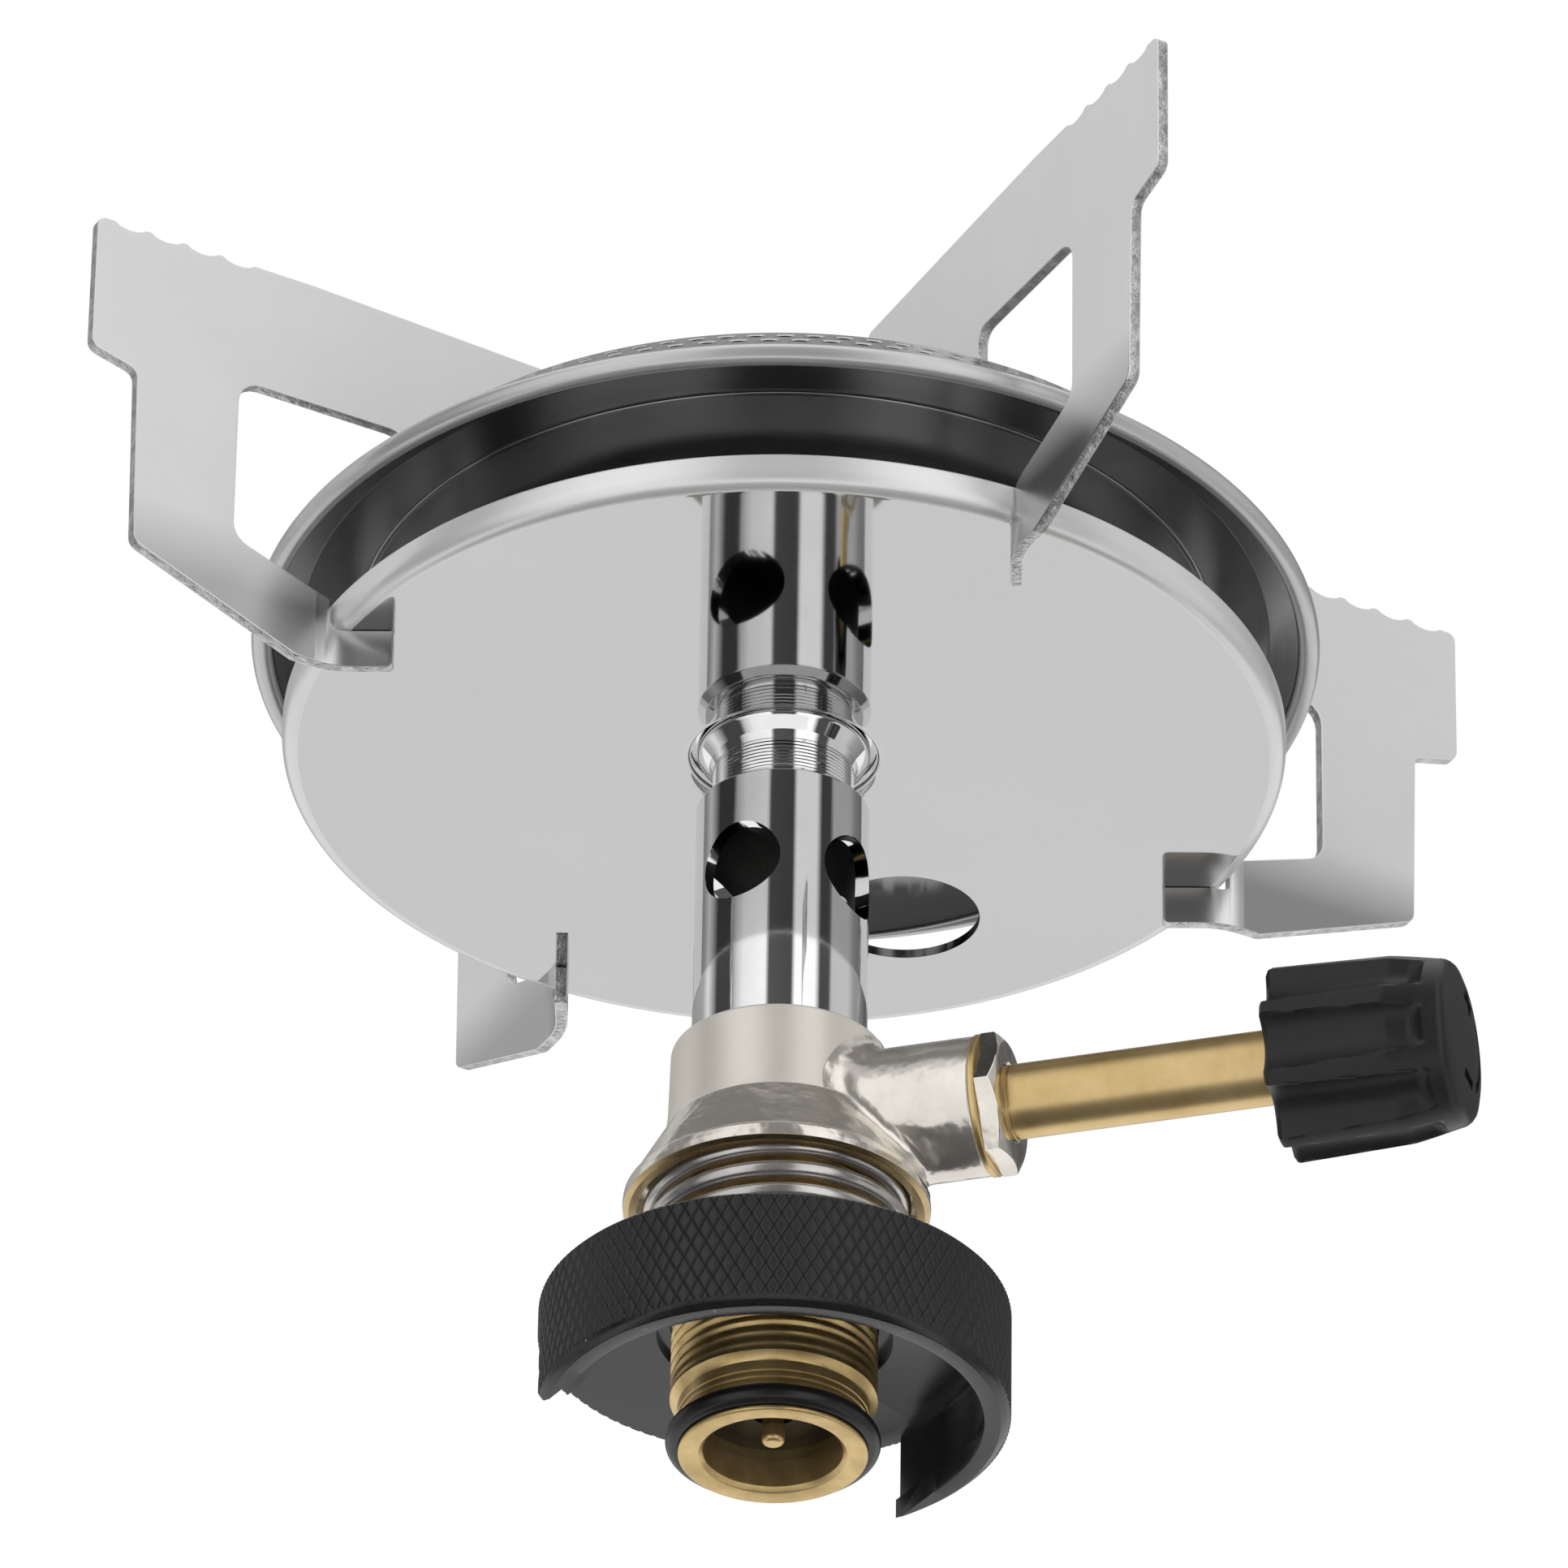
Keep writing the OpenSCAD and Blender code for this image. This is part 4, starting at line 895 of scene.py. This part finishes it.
def cap():
    """The cap with two staggered rows of punched ports, its edge rolled round the cup's flange."""
    segs, per = PORTS * 4, TAU / PORTS
    bm = bmesh.new()

    def ring_at(share, depth):
        return [bm.verts.new(on_slope(share, TAU * k / segs, depth=depth)) for k in range(segs)]

    def level(points):
        return [[bm.verts.new(c) for c in ring] for ring in circle_rings(points, segs)]

    def port_ring(share, angle, r, depth):
        turns = [math.radians(22.5 * t - 135) for t in range(PORT_SIDES)]
        return [bm.verts.new(on_slope(share, angle, r * math.sin(a), r * math.cos(a), depth)) for a in turns]

    skins = [[ring_at(share, depth) for share in CAP_CUTS] for depth in (0, CAP_T)]
    for row, (share, low, high) in enumerate(PORT_ROWS):
        rims = []
        for skin, depth in zip(skins, (0, CAP_T)):
            # Radius and depth added for each ring of a port: rounded outside, sharp inside
            steps = ((0.1, 0.0), (0.0, 0.05)) if depth == 0 else ((0.0, 0.0),)
            rise = CAP_CUTS[high] - CAP_CUTS[low]
            sides = []
            for i in range(PORTS):
                a = per * (i + 0.5 * row - 0.5)
                places = [CAP_CUTS[low] + rise * t / 4 for t in (1, 2, 3)]
                sides.append([bm.verts.new(on_slope(s, a, depth=depth)) for s in places])
            made = []
            for i in range(PORTS):
                first = i * 4 + 2 * row - 2
                base = [skin[low][(first + t) % segs] for t in range(5)]
                top = [skin[high][(first + t) % segs] for t in range(5)]
                edge = base + sides[(i + 1) % PORTS] + top[::-1] + sides[i][::-1]
                for grow, sink in steps:
                    rim = port_ring(share, per * (i + 0.5 * row), PORT_R + grow, depth + sink)
                    stitch(bm, [edge, rim], closed=False)
                    edge = rim
                made.append(edge)
            rims.append(made)
        for outer, inner in zip(*rims):
            stitch(bm, [outer, inner], closed=False)
    top = rounded([
        (0, 79.8), (9.9, 79.87, 0.8), (12.1, CAP_TOP_Z, 0.8), (36.92, CAP_TOP_Z, 0.4), tuple(SLOPE_HIGH),
        (37.6, 80.8)], 5, 0.2)[:-1]
    turns = [math.radians(a) for a in range(48, -231, -12)]
    curl = [(BEAD_MID_R + BEAD_R * math.cos(a), BEAD_Z + BEAD_R * math.sin(a)) for a in turns]
    under = [(36.8, 80.2), (36.35, 80.47), (12.35, 80.47), (10.2, 79.27), (0, 79.2)]
    stitch(bm, level(top) + [skins[0][2]], closed=False)
    rolled = level([tuple(SLOPE_LOW)] + curl + [(42.0, 75.95)])
    stitch(bm, [skins[0][0]] + rolled + [skins[1][0]], closed=False)
    stitch(bm, [skins[1][2]] + level(under), closed=False)
    return bm


cap_piece = piece("perforated_cap", cap(), "base", m_burner, ["burner_cap"], smooth=40)
repaint(cap_piece, m_bead, lambda c: math.hypot(c.x, c.y) > 41.6 and c.z < 75.96)

# ---------------------------------------------------------------- pot supports

SUPPORT_REACH, SHEET_T, SHEET_Y = 62.8, 1.0, -1.1
SHEET_MID_Y = SHEET_Y - SHEET_T / 2
NOTCHES, NOTCH_PITCH, NOTCHES_FROM = 4, 3.25, 48.5
NOTCH = ((-1.375, 0), (-1.0, -0.26), (-0.5, -0.4), (0, -0.45), (0.5, -0.4), (1.0, -0.26), (1.375, 0))
BEND_FROM, BEND_LEN, BEND_ANGLE = 42.6, 4.6, math.radians(30)
FOOT_TOP = 69


def support_outline():
    """The flat sheet, as (distance from the stove's axis, z): top, outer post, foot and inner side."""
    top, post_in = SUPPORT_TOP_Z, 49.6
    pts = [(16.6, top - 1.1, 0.5), (NOTCHES_FROM - 5, top, 0), (NOTCHES_FROM - 0.1, top, 0.2)]
    for i in range(NOTCHES):
        u = NOTCHES_FROM + (i + 0.5) * NOTCH_PITCH
        pts += [(u + du, top + dz) for du, dz in NOTCH]
    pts += [
        (SUPPORT_REACH, top, 1.0), (SUPPORT_REACH, 84.255, 1.0), (58.7, 83.155, 1.0),
        (58.37, 66.945, 1.1), (43.7, 60.995, 0.8), (35.4, 60.995, 0.5), (35.4, 64.345, 0.3),
        (40.8, 64.345, 0.6), (40.8, 67.145, 0.3), (post_in, 70.3, 2.0), (post_in, 85.355, 2.0),
        (34.7, 85.355, 1.2), (34.7, 81.12), (31.0, 81.12), (31.0, 79.52), (26.0, 79.52), (26.0, 81.12),
        (24.0, 81.12)]
    return rounded(pts, 5, 0)


def bend_angle(length):
    """The foot's direction at a length from where its bend begins."""
    t = min(1, length / BEND_LEN)
    return BEND_ANGLE * t * t * (3 - 2 * t)


def bent(u, y):
    """Where a point of the foot goes when its inner end is bent towards the stove's axis."""
    if u >= BEND_FROM:
        return u, y
    steps = 24
    length = BEND_FROM - u
    x, w = BEND_FROM, SHEET_MID_Y
    for k in range(steps):
        a = bend_angle((k + 0.5) / steps * length)
        x -= math.cos(a) * length / steps
        w += math.sin(a) * length / steps
    a = bend_angle(length)
    off = y - SHEET_MID_Y
    return x + off * math.sin(a), w + off * math.cos(a)


def support(index):
    """A stamped support with broken edges and bent foot. Its cut faces get the second material."""
    bm = bmesh.new()
    bm.faces.new([bm.verts.new((p[0], 0, p[1])) for p in support_outline()])
    bmesh.ops.recalc_face_normals(bm, faces=bm.faces)
    for u in [35.6 + 0.4 * k for k in range(22)]:
        whole = bm.verts[:] + bm.edges[:] + bm.faces[:]
        bmesh.ops.bisect_plane(bm, geom=whole, plane_co=(u, 0, 0), plane_no=(1, 0, 0))
    made = bmesh.ops.extrude_face_region(bm, geom=bm.faces[:])
    far_side = [v for v in made["geom"] if isinstance(v, bmesh.types.BMVert)]
    bmesh.ops.translate(bm, vec=(0, -SHEET_T, 0), verts=far_side)
    bmesh.ops.translate(bm, vec=(0, SHEET_Y, 0), verts=bm.verts)
    bmesh.ops.recalc_face_normals(bm, faces=bm.faces)
    for f in bm.faces:
        f.material_index = 1 if abs(f.normal.y) < 0.5 else 0
    sharp = [e for e in bm.edges if len(e.link_faces) == 2 and e.calc_face_angle(0) > 1.0]
    bmesh.ops.bevel(bm, geom=sharp, offset=0.09, segments=2, profile=0.6, affect="EDGES")
    bmesh.ops.triangulate(bm, faces=[f for f in bm.faces if len(f.verts) > 4])
    for v in bm.verts:
        if v.co.z < FOOT_TOP:
            v.co.x, v.co.y = bent(v.co.x, v.co.y)
    return moved(bm, Matrix.Rotation(math.radians(90 * index), 4, "Z"))


for k in range(4):
    made = piece("stamped_support_%d" % (k + 1), support(k), "base", m_stamped_shaded_foot,
                 ["pot_support_%d" % (k + 1)], smooth=40)
    made.data.materials.append(m_shear)
    across = Matrix.Rotation(math.radians(90 * k), 3, "Z") @ Vector((0, 1, 0))
    for face in made.data.polygons:
        if abs(face.normal.dot(across)) > 0.9999:
            face.use_smooth = False

# ---------------------------------------------------------------- stage, light and camera

FLOOR_HALF, FLOOR_HEIGHT = 12, -2.2
CARD_CORNERS, CARD_HEIGHT = ((0.29, -0.35), (0.29, 0.35), (-0.42, 0.35), (-0.42, -0.35)), -0.5
CAMERA_AT = Vector((-0.438716, -0.798022, -0.525993))
CAMERA_AXES = (
    (0.8720833, -0.2751556, -0.4046729),
    (-0.4891812, -0.4679854, -0.7359969),
    (0.0131327, 0.839809, -0.5427232))
RIGHT, UP, BACK = (Vector(c) for c in zip(*CAMERA_AXES))
MIDDLE = Vector((0, 0, 0.05))
CAMERA_SIDE = math.radians(241.2)
# Light of the room, by degrees from the camera's side
ROOM = (
    (-180, 0.35), (-158, 0.3), (-122, 0.4), (-110, 0.8), (-98, 0.3), (-92, 0.06), (-68, 0.06), (-62, 0.6),
    (-50, 0.95), (-20, 1.1), (-15, 0.1), (14, 0.08), (19, 1.2), (46, 1.2), (53, 0.08), (66, 0.08),
    (71, 0.6), (100, 0.6), (112, 0.35), (150, 0.1), (180, 0.35))


def either(tree, first, second):
    """The larger of two values, so 1 where a ray is of one of two kinds."""
    node = tree.nodes.new("ShaderNodeMath")
    node.operation = "MAXIMUM"
    tree.links.new(first, node.inputs[0])
    tree.links.new(second, node.inputs[1])
    return node.outputs[0]


def emitter(name, colour):
    m = bpy.data.materials.new(name)
    m.use_nodes = True
    t = m.node_tree
    t.nodes.clear()
    out = t.nodes.new("ShaderNodeOutputMaterial")
    glow = t.nodes.new("ShaderNodeEmission")
    glow.inputs["Color"].default_value = (*colour, 1)
    t.links.new(glow.outputs[0], out.inputs["Surface"])
    return m


def floor_material():
    """Plain white to the camera and in reflections, and a pale floor for all other light."""
    m = bpy.data.materials.new("pale_floor")
    m.use_nodes = True
    t = m.node_tree
    shader = t.nodes["Principled BSDF"]
    shader.inputs["Base Color"].default_value = (0.86, 0.86, 0.86, 1)
    shader.inputs["Roughness"].default_value = 0.8
    out = t.nodes["Material Output"]
    path = t.nodes.new("ShaderNodeLightPath")
    glow = t.nodes.new("ShaderNodeEmission")
    glow.inputs["Color"].default_value = (1, 1, 1, 1)
    mix = t.nodes.new("ShaderNodeMixShader")
    t.links.new(either(t, path.outputs["Is Camera Ray"], path.outputs["Is Glossy Ray"]), mix.inputs[0])
    t.links.new(shader.outputs[0], mix.inputs[1])
    t.links.new(glow.outputs[0], mix.inputs[2])
    t.links.new(mix.outputs[0], out.inputs["Surface"])
    return m


def sheet(name, corners, material):
    """A flat piece of the stage, its corners in metres."""
    mesh = bpy.data.meshes.new(name)
    mesh.from_pydata([Vector(c) for c in corners], [], [tuple(range(len(corners)))])
    obj = bpy.data.objects.new(name, mesh)
    obj.data.materials.append(material)
    bpy.context.scene.collection.objects.link(obj)
    return obj


def only_reflected(obj):
    """Leaves an object of the stage to be seen in reflections alone."""
    obj.visible_camera = obj.visible_diffuse = obj.visible_shadow = obj.visible_transmission = False


def room():
    """What metal shows all round it: a bent wall whose light follows its direction."""
    turns, top, low_part, high_part = 144, 60, -45, 8
    bm = bmesh.new()
    rows = []
    for i in range(turns):
        a = math.radians(2.5 * i - 180)
        low = low_part if abs(a) < math.radians(128) else high_part
        rows.append([bm.verts.new((*polar(1, a), math.tan(math.radians(e)))) for e in (low, top)])
    for p, q in zip(rows, rows[1:] + rows[:1]):
        bm.faces.new((p[0], q[0], q[1], p[1]))
    obj = as_object("room", bm)
    obj.location = MIDDLE
    obj.rotation_euler = (0, 0, CAMERA_SIDE)
    n = Nodes("room_light")
    axes = n.add("ShaderNodeSeparateXYZ")
    n.link(n.co, axes.inputs[0])
    turn = n.math("ARCTAN2", axes.outputs["Y"], axes.outputs["X"])
    stops = [(0.5 + degrees / 360, light) for degrees, light in ROOM]
    light = n.ramp(n.math("ADD", n.math("DIVIDE", turn, TAU), 0.5), stops)
    glow = n.add("ShaderNodeEmission")
    n.link(light, glow.inputs["Color"])
    n.link(glow.outputs[0], n.t.nodes["Material Output"].inputs["Surface"])
    obj.data.materials.append(n.m)
    only_reflected(obj)


def place(right, up, back):
    """A point seen from the photograph's side: metres to the right, up and towards the camera."""
    return MIDDLE + RIGHT * right + UP * up + BACK * back


def area(name, centre, size, power):
    """A lamp that faces the stove and stays out of its reflections."""
    data = bpy.data.lights.new(name, "AREA")
    data.shape = "RECTANGLE"
    data.size, data.size_y = size
    data.energy = power
    obj = bpy.data.objects.new(name, data)
    bpy.context.scene.collection.objects.link(obj)
    obj.location = centre
    obj.rotation_mode = "QUATERNION"
    obj.rotation_quaternion = (MIDDLE - centre).to_track_quat("-Z", "Y")
    obj.visible_glossy = False


def set_world():
    """A white world, at full strength to the camera and in reflections and weaker for other light."""
    world = bpy.data.worlds.new("studio")
    bpy.context.scene.world = world
    world.use_nodes = True
    t = world.node_tree
    background = t.nodes["Background"]
    background.inputs["Color"].default_value = (1, 1, 1, 1)
    path = t.nodes.new("ShaderNodeLightPath")
    seen = either(t, path.outputs["Is Camera Ray"], path.outputs["Is Glossy Ray"])
    level = t.nodes.new("ShaderNodeMapRange")
    level.inputs["To Min"].default_value = 0.6
    level.inputs["To Max"].default_value = 1.0
    t.links.new(either(t, seen, path.outputs["Is Transmission Ray"]), level.inputs["Value"])
    t.links.new(level.outputs["Result"], background.inputs["Strength"])


square = ((-1, -1), (1, -1), (1, 1), (-1, 1))
sheet("floor", [(x * FLOOR_HALF, y * FLOOR_HALF, FLOOR_HEIGHT) for x, y in square], floor_material())

camera = bpy.data.objects.new("camera", bpy.data.cameras.new("camera"))
camera.data.sensor_width = 36
camera.data.lens = 308.975
camera.matrix_world = Matrix.Translation(CAMERA_AT) @ Matrix(CAMERA_AXES).to_4x4()
camera.data.clip_start, camera.data.clip_end = 0.05, 50
bpy.context.scene.collection.objects.link(camera)
bpy.context.scene.camera = camera

room()

aside = Matrix.Rotation(CAMERA_SIDE, 4, "Z")
card_corners = [aside @ Vector((x, y, CARD_HEIGHT)) for x, y in CARD_CORNERS]
only_reflected(sheet("card_below", card_corners, emitter("card_below", grey(0.1))))

area("key", place(-0.7, 0.9, 0.5), (0.5, 0.5), 3)
area("fill", place(0.9, 0.2, 0.7), (0.5, 0.9), 2)
area("rim", place(0.2, 0.6, -0.9), (0.8, 0.5), 2)
set_world()

bpy.context.scene.view_settings.view_transform = "Standard"
